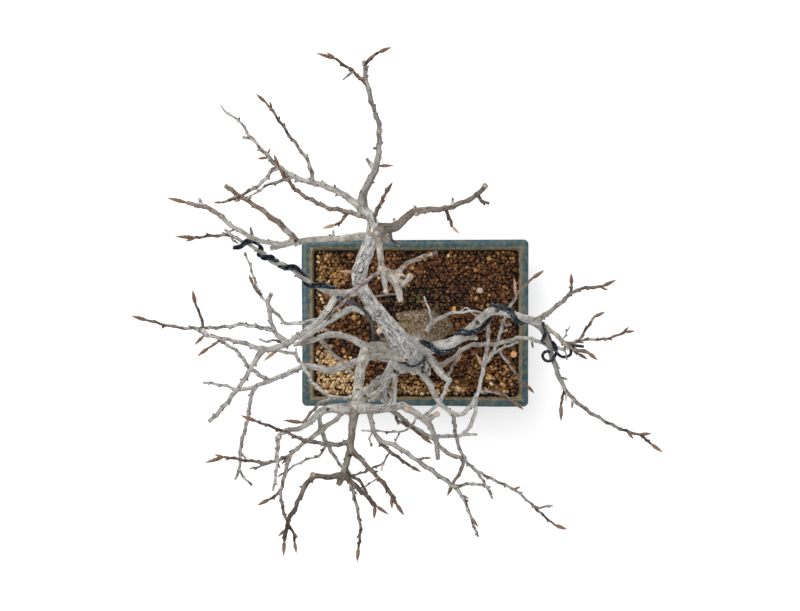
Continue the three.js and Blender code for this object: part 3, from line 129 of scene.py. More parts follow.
LIMBS = [
  # The leader and the crown that it carries.
  ["leader", "trunk", [[9, -47], [-1, -34], [-9.5, -23], [-23, -6], [-30, 4], [-36, 13], [-40.5, 22],
    [-41, 30], [-39, 38], [-36, 47], [-33, 56], [-30, 64], [-27, 74], [-28, 84], [-32, 92], [-38, 98]],
    [0, 58, 122, 172, 210, 236, 250], [22, 19, 16, 14, 15.5, 15, 13, 9.5], "cut"],
  ["upper", "leader", [[-37, 96], [-37, 110], [-33, 120], [-26, 133], [-22, 147], [-21, 160], [-21, 180],
    [-25, 193], [-30, 210], [-34, 226], [-35, 236], [-36, 244]],
    [0, 22, 42, 58, 70], [9, 8, 7, 6, 5.4, 5, 4.6], "cut"],
  ["upper_right", "upper", [[-35, 240], [-30, 247], [-22, 253], [-8, 258.5]], [0, 6, 13], [3.5, 3], "bud"],
  ["upper_left", "upper", [[-34, 221], [-47, 234], [-64, 246.5], [-84.5, 252.5]],
    [0, 10, 24], [3.5, 2.6], "bud"],
  ["crown_twig", "leader", [[-27, 86], [-22, 97], [-15, 111], [-7, 124]], [0, 18, 32], [4.4, 3], "bud"],
  ["left_high", "leader", [[-36, 96], [-50, 106], [-60, 113], [-80, 121], [-102, 127], [-120, 137.5],
    [-130, 147], [-140, 158], [-150, 169], [-161, 185], [-173, 192], [-179, 200]],
    [0, 8, 20, 34, 46, 58], [8.5, 7, 7, 6.5, 5, 4, 3, 2.4, 2], "cut"],
  ["left_high_a", "left_high", [[-87, 124], [-91, 142], [-100, 156], [-110, 169], [-120, 184], [-134, 203],
    [-144.5, 212]], [0, 16, 30, 44], [4.2, 3.2, 2.4], "bud"],
  ["left_high_b", "left_high", [[-107, 130], [-118, 125], [-131, 121], [-152, 107.5]],
    [0, -5, -5], [4, 3, 2.3], "cut"],
  ["left_high_c", "left_high", [[-121, 139], [-129, 134], [-134, 127], [-143, 119], [-165, 107],
    [-178, 103], [-187, 103]], [0, 4, 10], [4, 3.2, 2.6], "bud"],
  ["cross_twig", "leader", [[-29, 86], [-42, 90.5], [-62, 96], [-73, 98], [-100, 112.5], [-114, 127.5],
    [-121, 138], [-126.5, 152]], [0, 20, 38, 50, 58], [5.5, 4.5, 3.8, 3.2], "bud"],
  ["cross_twig_a", "cross_twig", [[-52, 93], [-58, 85], [-65, 80.5], [-78.5, 77]],
    [0, 8, 14], [3.2, 2.6], "bud"],
  ["right_high", "leader", [[-27, 77], [-18, 77], [-8, 78], [0, 82], [12, 93], [18, 95], [45, 97],
    [60, 102], [76, 110], [86, 121]], [0, 8, 20, 32, 44], [11, 10, 9, 7, 6, 5.5, 5, 4.8], "cut"],
  ["right_high_a", "right_high", [[77, 111], [82, 105], [89, 102]], [0, 3], [3.4, 3], "cut"],
  ["right_high_b", "right_high", [[45, 97], [49, 89], [52, 79], [59.5, 71.5]],
    [0, 4, 8], [3.2, 2.8], "bud"],
  ["right_high_c", "right_high", [[-9, 78], [-8, 66], [-1, 59]], [0, 3], [3.4, 2.2], "cut"],
  ["left_upper", "leader", [[-29, 68], [-40, 69], [-60, 67], [-80, 66.5], [-106, 63], [-122, 61.5],
    [-140, 65], [-155, 72], [-170, 81], [-185, 94], [-193, 98], [-213, 102.5], [-234, 108]],
    [0, 5, 12, 22, 34, 46], [8.5, 6.8, 7, 6.4, 5.5, 5, 4.5, 4], "bud"],
  ["left_upper_a", "left_upper", [[-103, 64], [-108, 70], [-122, 83], [-130, 89], [-140, 97], [-158, 108],
    [-175, 120]], [0, 10, 20, 32], [6.5, 6.5, 5.5, 5, 4.6], "cut"],
  ["left_upper_b", "left_upper", [[-113, 62.5], [-120, 59.5], [-130, 57]], [0, -2], [6.4, 6], "cut"],
  ["top", "leader", [[-27, 74], [-22, 67], [-20, 55], [-19, 45], [-18, 36], [-15, 31]],
    [0, 16, 26, 30], [8.5, 7, 8], "cut"],
  ["top_left", "top", [[-18, 36], [-22, 32], [-35, 24], [-48, 13], [-60, 0], [-66, -6], [-73, -15]],
    [0, 4, 8, 12], [4.5, 4, 3.5, 3, 2.5], "cut"],
  ["top_stub", "top", [[-16, 33], [-15, 23], [-14, 14]], [0, 4], [6, 5.5], "cut"],
  ["top_right", "top", [[-16, 33], [-7, 29], [-3, 20], [0.5, 5]], [0, 4, 6], [9, 11, 9, 6.2], "cut"],
  ["top_right_a", "top_right", [[-4, 22], [4, 22.5], [10.5, 29.5]], [0, 5], [7, 6.4], "cut"],
  ["top_right_b", "top_right", [[-8, 29.5], [4, 39], [15, 46], [30, 51], [37, 53.5]],
    [0, 5], [5.4, 5, 4.6, 3], "cut"],

  # The middle tier on the left.
  ["left_mid", "leader", [[-38, 17], [-48, 12.5], [-60, 11], [-68, 3], [-78, -12], [-84, -18], [-100, -29],
    [-113, -38], [-122, -42], [-137, -43.5], [-155, -38], [-180, -32.5], [-195, -29], [-211, -20.5]],
    [0, 4, 12, 24, 36, 48], [9, 7.5, 7, 7, 6.5, 6, 5, 4.4, 3, 2.5], "cut"],
  ["left_wired", "left_mid", [[-55, 12], [-68, 13], [-82, 18.5], [-95, 26], [-110, 38], [-118, 41.5],
    [-125, 42], [-130, 46], [-140, 54], [-152, 61.5], [-165, 68], [-175, 76]],
    [0, 8, 14, 24, 36], [7, 6, 5.4, 5, 4.6, 4, 3], "cut"],
  ["left_wired_a", "left_wired", [[-167, 69], [-175, 70.5], [-205, 68], [-225.5, 69]],
    [0, 6, 16], [3.2, 2.6], "bud"],
  ["left_mid_down", "left_mid", [[-137, -43.5], [-144, -54], [-152, -67], [-157, -76], [-167, -89],
    [-179, -104], [-191, -116]], [0, 6, 12], [6, 5, 4.5, 4], "cut"],
  ["left_mid_up", "left_mid", [[-113, -38], [-118, -33], [-126, -25], [-131.5, -3], [-132, 3], [-129, 12]],
    [0, 10, 20, 28], [6.4, 4.8, 4.4], "cut"],
  ["left_mid_tip", "left_mid_up", [[-125, -25], [-142, -21.5], [-158, -19], [-175, -21.5], [-213, -22.5],
    [-230, -20.5], [-252, -15], [-269.5, -10]], [0, 8, 22, 38], [4, 3.2, 3, 2.6], "bud"],
  ["left_mid_tip_a", "left_mid_tip", [[-197, -22], [-199, -12], [-204.5, 1], [-207.5, 16]],
    [0, 14, 26], [3, 2.5], "bud"],
  ["left_mid_a", "left_mid", [[-180, -32.5], [-184, -38], [-191, -42], [-203, -51]],
    [0, 4], [2.6, 2.4], "bud"],
  ["left_mid_b", "left_mid", [[-114, -38.5], [-127, -34.5], [-134, -36], [-141, -33.5]],
    [0, 9], [2.6, 2], "cut"],
  ["left_loop", "left_mid", [[-80, -14], [-92, -16], [-113, -18], [-122, -10], [-131, 0], [-140, 12],
    [-146, 27], [-149, 37], [-155, 53]], [0, 6, 10, 14], [3.8, 3.4, 3, 2.4, 2], "cut"],
  ["left_loop_a", "left_loop", [[-139, 10], [-144, 15], [-147, 21], [-151.5, 31.5]],
    [0, 6], [2.6, 2.4], "bud"],
  ["left_pale", "leader", [[-23, -3], [-35, -6], [-42, -3], [-48, -3], [-55, -6], [-68, -13.5], [-84, -24],
    [-101, -36]], [0, -25, -42, -45], [7.5, 7, 6.5, 6], "cut"],

  # The limb that reaches to the front, and what grows from it.
  ["front", "trunk", [[6, -47], [-4, -47.5], [-13, -46], [-22, -42.5], [-29.5, -43], [-34, -47],
    [-36.5, -54], [-39.5, -65], [-42, -82], [-43, -101]],
    [0, 20, 45, 80, 115, 150], [16, 14, 13, 12, 11, 10.5, 12.5], "cut"],
  ["left_inner", "front", [[-31, -41.5], [-45, -35], [-60, -29.5], [-75, -30], [-90, -36], [-107, -39.5]],
    [0, 8, 16, 20], [8, 7, 7, 5.5, 5], "cut"],
  ["left_inner_a", "left_inner", [[-80, -32], [-70, -45], [-63, -52], [-47, -68]],
    [0, -10, -22], [3.8, 3.4, 3], "cut"],
  ["front_left", "front", [[-43, -99], [-50, -103], [-70, -103], [-80, -107], [-92, -118], [-98, -122],
    [-118, -127], [-122, -134], [-123, -160], [-127, -185]],
    [0, 10, 22, 32, 42], [11, 10.5, 9, 6.5, 4.8, 4.2, 4, 3.4, 2.6], "cut"],
  ["front_thin", "front", [[-44, -91], [-55, -92], [-72, -94.5], [-80, -97], [-87, -105], [-97, -117],
    [-118, -114.5]], [0, 22, 40, 52], [3.4, 3, 2.8], "bud"],
  ["front_long", "front_thin", [[-60, -93], [-70, -91], [-88, -77], [-91, -70], [-103, -52], [-107, -48],
    [-134, -44]], [0, 6, 10], [3.6, 3.4, 3], "cut"],
  ["front_corner", "front_left", [[-57, -103], [-59, -109], [-72, -120], [-88, -132], [-102, -142],
    [-111, -152], [-114, -165], [-120, -188]], [0, -6, 4, 18, 32], [5, 5, 5.5, 4.5, 4, 3], "cut"],
  ["front_corner_a", "front_corner", [[-119, -184], [-125, -191], [-130, -193.5], [-143, -200]],
    [0, 4], [3, 2.6], "bud"],
  ["front_corner_b", "front_corner", [[-119.5, -186], [-118, -199], [-113, -216], [-107, -226],
    [-105.5, -236], [-103.5, -248]], [0, 12, 24], [3, 2.6], "bud"],
  ["front_west", "front_corner", [[-109, -150], [-117, -153], [-130, -157], [-145, -156], [-176, -151.5],
    [-196, -157.5]], [0, 8, 20], [3.4, 3, 2.6], "bud"],
  ["front_west_a", "front_west", [[-130, -157], [-140, -161], [-150, -163]], [0, 2], [2.4, 2], "cut"],
  ["front_grey", "front_left", [[-79, -107], [-80, -122], [-73, -138], [-66, -150], [-58, -162]],
    [0, -30, -36], [5, 4, 3], "cut"],
  ["front_grey_a", "front_grey", [[-73, -138], [-80, -149], [-98, -156], [-122, -171]],
    [0, -4, -6], [2.6, 2], "cut"],
  ["front_down", "front", [[-43.5, -99], [-46, -107], [-48, -125], [-50, -145], [-52, -152], [-57, -171]],
    [0, 8, 18, 28], [10, 8, 8, 7, 6.5], "cut"],
  ["front_down_stub", "front_down", [[-56, -168], [-59, -174], [-62, -180]], [0, 0], [6.5, 6], "cut"],
  ["front_mid_left", "front_down", [[-49, -136], [-66, -139], [-75, -138], [-92, -136], [-112, -127.5],
    [-143, -116], [-160, -109.5]], [0, 14, 28, 38, 46], [5, 4.2, 3.5, 2.6, 2.4], "bud"],
  ["front_down_left", "front_down", [[-56, -170], [-70, -171.5], [-86, -171], [-95, -181], [-105, -203],
    [-112, -216], [-115.5, -235], [-116.5, -251]], [0, 8, 22, 38], [6, 6, 5, 4.4, 3.6], "bud"],
  ["front_down_right", "front_down", [[-56, -168], [-48, -177], [-32, -192], [-25, -200], [-26, -214]],
    [0, 8, 18], [5.4, 4.8, 4.5], "bud"],
  ["front_strand", "front_down", [[-54, -162], [-50, -169], [-40, -176], [-33, -188]],
    [0, 14, 14], [3.4, 3], "cut"],
  ["front_tail", "front_down_right", [[-50, -174], [-47, -186], [-42, -207], [-39.5, -221], [-41.5, -242],
    [-43, -257]], [0, -4, 2, 6], [3.6, 3, 2.4], "bud"],
  ["front_fork", "front_down", [[-50, -144], [-42, -151], [-24, -170], [-14, -181], [-4, -198],
    [4.5, -210.5]], [0, -4, 6, 18], [5.8, 5, 4.4, 3], "bud"],
  ["front_cross", "front_down", [[-56, -166], [-48, -169.5], [-40, -168], [-28, -163], [-17, -157],
    [-10, -146]], [0, 12, 14], [2.4, 1.8], "cut"],
  ["front_right", "front", [[-43, -101], [-35, -103], [-15, -103], [2, -100.5], [8, -103], [22, -112],
    [31, -122], [36.5, -137], [38, -155]], [0, 6, 10, 14, 16], [11, 9.5, 8.5, 8, 7, 6, 5.5, 5], "cut"],
  ["front_right_stub", "front_right", [[25, -115], [38, -108]], [0, 4], [5.4, 5], "cut"],
  ["front_right_a", "front_right", [[-11, -102], [-5, -107], [12, -120], [27, -130], [33, -133], [46, -147],
    [61, -153], [63, -160], [53, -178], [47, -191]],
    [0, -14, -12, -8, -4, 0], [5, 4.6, 4.4, 3.6, 3], "bud"],
  ["front_right_b", "front_right_a", [[-4, -108], [-3, -114], [10, -121.5], [20, -129], [33, -139]],
    [0, -8, -6], [3, 2.8], "bud"],
  ["front_right_c", "front_right", [[-29, -104], [-29, -115], [-22, -133], [-8, -139], [0, -143],
    [17, -155], [33, -166], [50, -178], [61, -189], [67, -201], [74, -221], [78, -231]],
    [0, 5, 12, 22, 34, 46], [5.6, 5, 5, 4.6, 4, 3, 2.2], "cut"],
  ["front_right_d", "front_right_c", [[16, -155], [24, -152.5], [32, -152.5]], [0, 3], [2.6, 2.6], "bud"],
  ["front_right_e", "front_right_c", [[52, -180], [60, -180], [72, -178], [90, -182]],
    [0, 4, 8], [3, 2.8], "cut"],
  ["front_right_f", "front_right_c", [[-22, -133], [-15, -142], [10, -160.5], [21.5, -166.5]],
    [0, -10, -10], [3.6, 3], "bud"],
  ["front_right_h", "front_right", [[16, -108], [14, -118], [1, -126], [-15, -126], [-38, -125]],
    [0, 8, 8], [2.2, 1.8], "cut"],

  # The lowest limbs.
  ["left_low", "trunk", [[14, -45], [-2, -53], [-12, -54], [-25, -51.5], [-38, -54], [-60, -62],
    [-70, -64.5], [-93, -60], [-110, -67], [-140, -79], [-160, -84.5], [-175, -80], [-197, -77]],
    [0, 2, 14, 26, 36], [9, 6.5, 6.5, 7, 6.5, 6, 5, 4, 3, 2.5], "cut"],
  ["left_low_a", "left_low", [[-131, -75.5], [-140, -70], [-152, -60], [-164, -45], [-181, -34.5]],
    [0, 10, 20], [4.2, 3.6, 3], "cut"],
  ["left_low_b", "left_low", [[-145, -80.5], [-149, -92], [-152, -112], [-159, -140], [-161, -165],
    [-165, -174]], [0, 8, 16, 22], [4.4, 4, 3.4, 2.6], "cut"],
  ["left_low_c", "left_low_b", [[-161, -164], [-156, -172], [-148, -180]], [0, 4], [2.4, 2], "cut"],
  ["inner_low", "trunk", [[11, -47], [0, -65], [-10, -70], [-20, -76], [-36, -84]],
    [0, -8, 0, 6], [8, 6, 5.5], "cut"],
  ["inner_low_a", "inner_low", [[-23, -77.5], [-28, -84], [-32, -91]], [0, 3], [3.8, 3], "cut"],
  ["inner_low_b", "inner_low", [[-17, -74], [-18, -84], [-18, -96]], [0, 4], [3.8, 3], "cut"],
  ["inner_low_c", "inner_low", [[-5, -67.5], [-5, -80], [-6, -99]], [0, 6], [5, 5], "cut"],
  ["low_stub", "trunk", [[14, -46], [27, -50], [38, -64], [51, -77]],
    [0, 8, 14, 18], [9, 8, 7.5, 7], "cut"],
  ["low_stub_a", "low_stub", [[49, -75], [44, -88], [40, -96], [35, -102], [24, -110]],
    [0, 6, 10], [3.8, 3.4], "cut"],
  ["low_stub_b", "low_stub", [[47, -73], [52, -62], [56, -56], [62.5, -48]], [0, 8], [3, 2.8], "bud"],
  ["right_thin", "low_stub", [[36, -61], [48, -56], [64, -43], [72, -39.5], [98, -38], [120, -32.5],
    [133, -34], [155, -42.5], [170, -43]], [0, 4, 8, 14, 20], [5, 4.6, 4.2, 3.6, 3.2], "cut"],
  ["centre_twig", "trunk", [[21, -35], [24, -30.5], [28.3, -23.5], [31, -19], [34.5, -15.3], [42, -11.5],
    [49, -8.5], [57, -7], [66, -6.5], [74, -5], [83, -8.5]],
    [12, 16, 22, 28], [5.5, 5, 4, 3, 2.2, 2], "cut"],
  ["centre_twig_a", "centre_twig", [[33, -19], [30, -7], [24, 9]], [0, 8], [2.4, 1.8], "cut"],
  ["right_low", "trunk", [[13, -46], [18, -62], [30, -79], [38, -95], [52, -108], [58, -109.5],
    [64, -107.5], [75, -94], [80, -80], [83, -62], [88, -35], [88, -18]],
    [0, 20, 30, 40, 48, 54], [9, 7, 6, 5, 4.6, 4.5, 4, 3.4, 2.8], "cut"],
  ["right_low_a", "right_low", [[83.5, -60], [92, -48], [97, -37], [105, -13], [118, 12], [132, 27],
    [144.5, 35.5]], [0, 6, 12, 30, 40], [3.4, 3, 2.8, 2.6], "bud"],
  ["right_low_c", "right_low_a", [[91, -49], [100, -44], [118, -36.5]], [0, 6], [2.6, 2], "cut"],
  ["right_low_d", "right_low_c", [[99, -44.5], [110, -60], [120, -75], [127, -80], [134.5, -88]],
    [0, 4, 8], [2.6, 2.4], "bud"],
  ["right_low_e", "right_low", [[78, -85], [98, -87.5], [112, -95], [124, -104.5]],
    [0, 4, 8], [3, 2.6], "bud"],
  ["right_low_g", "right_low", [[76, -92], [75, -108], [67, -125], [60, -130], [37, -131]],
    [0, -8, -14], [4.2, 4, 4], "cut"],
  ["right_low_h", "right_low", [[53, -108.5], [56.5, -133], [65, -154], [78, -166], [96, -175.5],
    [117, -186], [140, -207], [155, -219.5], [167.5, -224]],
    [0, 10, 24, 36, 46], [3.8, 3.4, 3, 2.6, 2.3, 2.2], "bud"],
  ["right_low_i", "right_low_h", [[77, -165], [84, -177], [92.5, -193]], [0, 4], [2.4, 2.2], "cut"],
  ["right_low_j", "right_low_h", [[133, -200], [139, -202], [152.5, -200]], [0, 3], [2.3, 2.1], "cut"],

  # The wired limb on the right and its three ends.
  ["right", "trunk", [[9, -47], [15, -43], [25, -43], [35, -42], [55, -35.5], [68, -26], [87, -8], [93, -5],
    [108, -8], [138, -17]], [0, 20, 45, 70, 90, 100], [16, 12, 11.5, 10.5, 9.5, 9, 8.5, 8, 8], "cut"],
  ["right_stub", "right", [[56, -34.5], [68, -32], [78, -33]], [0, 5], [5, 4.5], "cut"],
  ["right_front", "right", [[135, -16], [140, -20], [147, -33], [151, -47], [156, -62], [162, -78],
    [170, -90], [181, -100], [195, -110], [222, -124], [241, -130], [251, -138.5], [263, -147]],
    [0, 6, 14, 26, 42, 58], [7.4, 6.5, 5.5, 4, 3.6, 3, 2.6, 2.2], "bud"],
  ["right_front_a", "right_front", [[164.5, -83], [161, -99], [161, -116.5]], [0, 8], [2.6, 2.4], "bud"],
  ["right_back", "right", [[135, -16], [145, -9.5], [158, 0.5], [176, 15], [190, 18], [202, 19], [217, 26]],
    [0, 12, 26, 38], [5.5, 4.6, 3.8, 3.2, 2.6], "bud"],
  ["right_back_a", "right_back", [[171, 11], [171.5, 20], [171, 33]], [0, 6], [2.6, 2.6], "bud"],
  ["right_mid", "right", [[134, -16], [147, -22], [160, -33], [171, -42.5], [188, -47], [198, -55]],
    [0, 8, 18, 30], [5, 4.5, 4, 3.4], "bud"],
  ["right_mid_a", "right_mid", [[170, -42], [178, -48], [188, -54]], [0, -5], [2.4, 2.4], "bud"],
  ["right_mid_b", "right_mid", [[165, -37.5], [176, -36.5], [184, -27], [194, -11.5], [205.5, -6]],
    [0, 8, 14], [3, 2.6], "bud"],
  ["right_mid_c", "right_mid_b", [[175, -36.5], [185, -34.5], [208, -33], [225, -26.5], [235.5, -25.5]],
    [0, 6, 12], [2.8, 2.4], "bud"],
]

# Buds on the sides of limbs: the limb, and the bud's foot and tip as they are seen.
SIDE_BUDS = [
  ["upper_left", -66, 248, -74, 253.5], ["crown_twig", -14, 112, -14, 119], ["upper", -21, 138.5, -6, 140],
  ["left_high", -134, 150, -143.5, 158.5], ["left_high", -133, 150, -129.5, 158],
  ["left_high", -131, 148, -143.5, 146.5], ["left_high_a", -128, 196, -130.5, 205],
  ["left_upper", -163, 77, -172, 74], ["left_upper_a", -160, 109, -172, 106], ["leader", -43, 35, -62, 34],
  ["left_wired_a", -204, 68, -215, 64], ["left_mid", -195, -29, -206, -40],
  ["front_long", -124, -45.5, -137, -56], ["front_corner", -110, -151, -119, -159],
  ["front_corner_b", -107, -226, -101.5, -233.5], ["front_west", -176, -151.5, -186, -149],
  ["front_west_a", -141, -161, -146, -165], ["front_down_left", -114, -223, -122.5, -231.5],
  ["front_down_right", -25.5, -199.5, -10.5, -209.5], ["front_fork", -9, -190, -8, -204],
  ["front_right_c", 71, -212, 78.5, -222], ["front_right_c", 61, -189, 69.5, -193.5],
  ["right_low", 83, -62, 75.5, -47], ["right_low_a", 116, 9, 114, 28.5],
  ["right_low_d", 120, -75, 123, -83], ["right_low_i", 88, -184, 93, -190],
  ["right_low_h", 113, -184, 121, -181], ["right_back", 200, 18.5, 208.5, 15],
  ["right_front", 239, -129, 252, -128], ["right_front", 226, -125, 234, -134],
  ["right_mid_c", 222, -28, 229, -21],
]

# Short spurs: the limb, the spur's foot and end as they are seen, and its seen width.
SPURS = [
  ["upper", -29, 137, -33.5, 147, 4.5], ["upper", -22, 158, -27, 157, 3],
  ["upper_left", -47, 234, -57, 226, 2.4], ["left_high", -149, 167, -157, 168, 3.4],
  ["left_upper", -198, 99, -201, 107.5, 3], ["left_upper", -147, 69, -149.5, 78, 3],
  ["left_upper", -66, 68, -67, 75, 3], ["right_high", 53, 99, 52.5, 107.5, 3],
  ["right_high", 14, 94, 14, 100, 3], ["right_high", -5, 79, -6, 87, 3.6],
  ["left_inner", -67, -29, -76, -23, 3], ["front_long", -104, -51, -104, -43, 2.6],
  ["left_low_b", -159, -148, -154, -153, 2.4], ["front_cross", -17, -157, -18.5, -165, 2.2],
  ["right_low_g", 62, -128.5, 77, -129, 2.6], ["right_thin", 131, -33.5, 133, -42, 2.6],
  ["right_front", 166, -86, 166, -95, 2.6], ["right_front", 173, -93, 172, -102, 2.6],
  ["right_front", 160, -72, 167, -74, 2.6], ["left_mid", -194, -29, -197, -23, 4],
]

# The roots that show, outwards from the trunk's foot: true x and y, and the height above the rim. The stretch
# inside the foot is the same for all, and has its width too.
ROOT_START = [[26, -25, 52, 17], [27.5, -24.5, 34, 20]]
ROOTS = [
  [[30, -22, 16], [14, -14, 9], [-3, -11, 0]],
  [[30, -22, 18], [22, -13, 9], [10, -9, 0]],
  [[32, -22, 18], [34, -16, 9], [33, -13, 0]],
  [[32, -22, 18], [42, -20, 9], [50, -19, 0]],
  [[32, -24, 18], [44, -28, 8], [51, -30, 0]],
  [[30, -26, 18], [33, -34, 8], [32, -38, 0]],
  [[28, -26, 18], [14, -34, 8], [9, -38, 0]],
  [[28, -24, 16], [10, -24, 8], [-4, -22, 0]],
]

ROOT_WIDTH = [19, 13, 8]

# The tie wire's route: true x and y, and the height above the rim. Its seen end lies on the soil, and it goes
# down through the soil and the floor, along under the pot and up again.
TIE_ROUTE = [[-28, 9.5, -1], [-20, 11, 0.5], [-10, 12.3, 1], [-3, 11.5, 0], [0, 8, -4], [-1, 2, -16],
  [-2, -2, -34],
  [-0.5, -2.8, -56], [-0.5, -2.8, -68], [1, -4, -71], [8, -12, -71.5], [25, -27, -71.5], [32, -35.5, -71],
  [33.5, -36.8, -68], [33.5, -36.8, -56], [35, -44, -47], [40, -54, -34], [42, -59, -16], [40, -61, -4]]

# The training wires: the limbs that each lies on, and its path along them, as the point that is seen and how
# far above the limb's middle line the wire runs there. The pair on the right limb share their first stretch.
LEFT_WIRE = {
  "limbs": ["left_wired", "left_mid", "leader", "left_pale"],
  "path": [[-167, 58, 3], [-160, 58.5, 4], [-152, 65, 2], [-145, 63.5, 3], [-140, 60, 1], [-139, 55.5, -4],
    [-141, 50, -2], [-136, 47.5, 3], [-129, 48.5, 4], [-125, 46, 1], [-121, 41, -4], [-117, 37.5, 0],
    [-112, 38, 4], [-105, 38.5, 3], [-98, 33, 0], [-95, 26, -4], [-93, 20.5, 0], [-86, 20, 4], [-76, 20.5, 3],
    [-68, 17.5, 0], [-61, 10, -5]],
}

RIGHT_SHARED = [[21.5, -35.5, 2], [26, -38, 6], [34, -42, 6], [41, -45.5, 4], [49, -46, 0], [55, -40, -6],
  [56, -32, -3], [62, -27, 3], [72, -26, 5], [80, -24.5, 3], [87, -18, -1], [91, -9, -6], [94, -1.5, -1],
  [102, -2, 5], [109, -5, 5], [115, -12, 3], [120, -18.5, 0]]

RIGHT_WIRE_FRONT = {
  "limbs": ["right", "right_front"],
  "path": [*RIGHT_SHARED, [125, -15.5, -8], [131, -16, -9], [137, -19, -5], [141.5, -22, 3], [144, -27, 4],
    [142, -33, 1], [144, -36.5, -6], [149, -34.5, -3], [154, -38, 2], [155.5, -44, 4], [153, -50.5, 5],
    [149, -54.3, 4], [144.8, -53.5, 4], [143.6, -49.8, 5], [146.5, -47.2, 6], [149.5, -48.2, 7]],
}

RIGHT_WIRE_MID = {
  "limbs": ["right", "right_mid"],
  "path": [*RIGHT_SHARED, [125, -14, -9], [131, -14, -11], [139, -19, -13], [147, -30, -14], [151, -40, -13],
    [156, -47.5, -9], [161, -51.3, -5], [166, -50.8, -3], [170, -47.5, 1], [172, -43, -3], [176, -39.5, 3],
    [184, -40.5, 2]],
}

# The limbs whose bark the wires must stay clear of, besides those that they are wound on.
LEFT_NEIGHBOURS = ["front", "right", "burl_left", "burl_right", "fork_web", "web_mid"]
RIGHT_NEIGHBOURS = ["trunk", "leader", "right_stub"]

# Tufts of moss on the soil: true x and y, spread, height and how many stems.
MOSS = [
  [17, 6, 5, 1.6, 26], [22, 8.5, 4, 1.8, 18], [27, 5, 3, 1.2, 10], [11, -6.5, 3, 1.4, 12],
  [40, -5.5, 3.5, 1.6, 16], [3, 3, 2.5, 1, 8], [48, 2, 2, 1, 6],
]

# Limbs that only the fine model of the tree has: twigs, stubs and the webs of wood between limbs.
FINE_LIMBS = [
  ["ring_stub", "right_mid", [[164, -37], [165.5, -45], [167, -54]], [0, 3], [1.8, 1.6], "cut"],
  ["thin_stick", "right_mid", [[162, -35], [166, -28], [170, -21]], [0, 8], [1.4, 1.2], "cut"],
  ["fine_fork", "front_right_h", [[0, -126], [-3, -133], [-6, -141]], [0, -5], [1.7, 1.5], "cut"],
  ["fine_hook", "front_tail", [[-41, -181], [-35, -181], [-30, -178.5], [-21, -171]],
    [0, 4, 6], [1.6, 1.5], "cut"],
  ["fine_drop", "front_right_h", [[-28, -125], [-30, -133], [-29, -141]], [0, -6], [1.8, 1.6], "cut"],
  ["right_fork", "right_low", [[83, -60], [86, -57], [88, -35], [88, -20]], [0, 5, 8], [2.6, 2], "cut"],
  ["right_prong", "right_low_a", [[100, -28], [107, -24]], [0, 2], [2, 1.6], "cut"],
  ["right_prong_b", "right_low_a", [[103, -20], [111, -19]], [0, 3], [2, 1.6], "cut"],
  ["pale_a", "inner_low", [[-12, -71], [-22, -72], [-30, -80]], [0, -6], [3, 2.4], "cut"],
  ["pale_b", "inner_low", [[-8, -69], [-12, -80], [-10, -92]], [0, -4], [2.6, 2], "cut"],
  ["centre_twig_b", "centre_twig", [[60, -5], [66, -2], [74, -9], [80, -10]], [0, 3], [1.8, 1.6], "cut"],
  ["left_link", "left_wired", [[-170, 71], [-167, 66], [-162, 62]], [0, -3], [2.4, 2], "cut"],
  ["front_spur", "front_left", [[-119, -130], [-124, -133]], [0, 1], [3.4, 3], "cut"],
  ["rotten_stub", "trunk", [[8, -49], [-3, -43], [-9.5, -36], [-15.5, -29], [-20.5, -23.5]],
    [0, -1, -3, -4], [14, 14, 13, 10.5, 7], "cut"],
  ["fork_web", "trunk", [[12, -50], [20, -57], [26, -63], [29, -70]], [0, -3, -8], [13, 12, 9, 5], "cut"],
  ["burl_left", "trunk", [[9, -50], [5, -58], [4.5, -67]], [0, -6], [13, 12, 10], "cut"],
  ["burl_right", "trunk", [[11, -50], [13, -59], [15, -68]], [0, -7], [13, 11, 8.5], "cut"],
  ["web_mid", "trunk", [[5, -50], [-1, -57], [-5, -63]], [0, -5], [12, 9.5, 7], "cut"],
  ["web_left", "trunk", [[4, -49], [-7, -57], [-12, -66], [-18, -75]], [0, -12, -24], [11, 8.5, 7], "cut"],
  ["tangle_a", "inner_low", [[-12, -71], [-17, -80], [-17, -89], [-14, -98]],
    [0, -2, -4], [4.5, 7.5, 8.5, 6], "cut"],
  ["tangle_b", "inner_low", [[-34, -83], [-31, -89], [-22, -86], [-13, -80]],
    [0, 3, 5], [4.5, 4.4, 3.6], "cut"],
  ["tangle_c", "tangle_b", [[-22, -86], [-25, -92], [-31, -96]], [0, -3], [4.4, 3.2], "cut"],
  ["tangle_d", "inner_low", [[-35, -84], [-38, -90], [-36, -97]], [0, -4], [5, 3.6], "cut"],
  ["tangle_e", "tangle_a", [[-16, -84], [-10, -86], [-8, -92], [-11, -98]], [0, 4], [4, 3.4], "cut"],
  ["flare_web", "top_right", [[-6.3, 30.2], [0, 28.5], [5.9, 26.4], [12, 27.2]], [0, 1], [9, 8, 6], "cut"],
  ["crown_web", "leader", [[-25, 74], [-18, 70], [-11, 65]], [0, -5, -9], [13, 10, 7.5], "cut"],
]

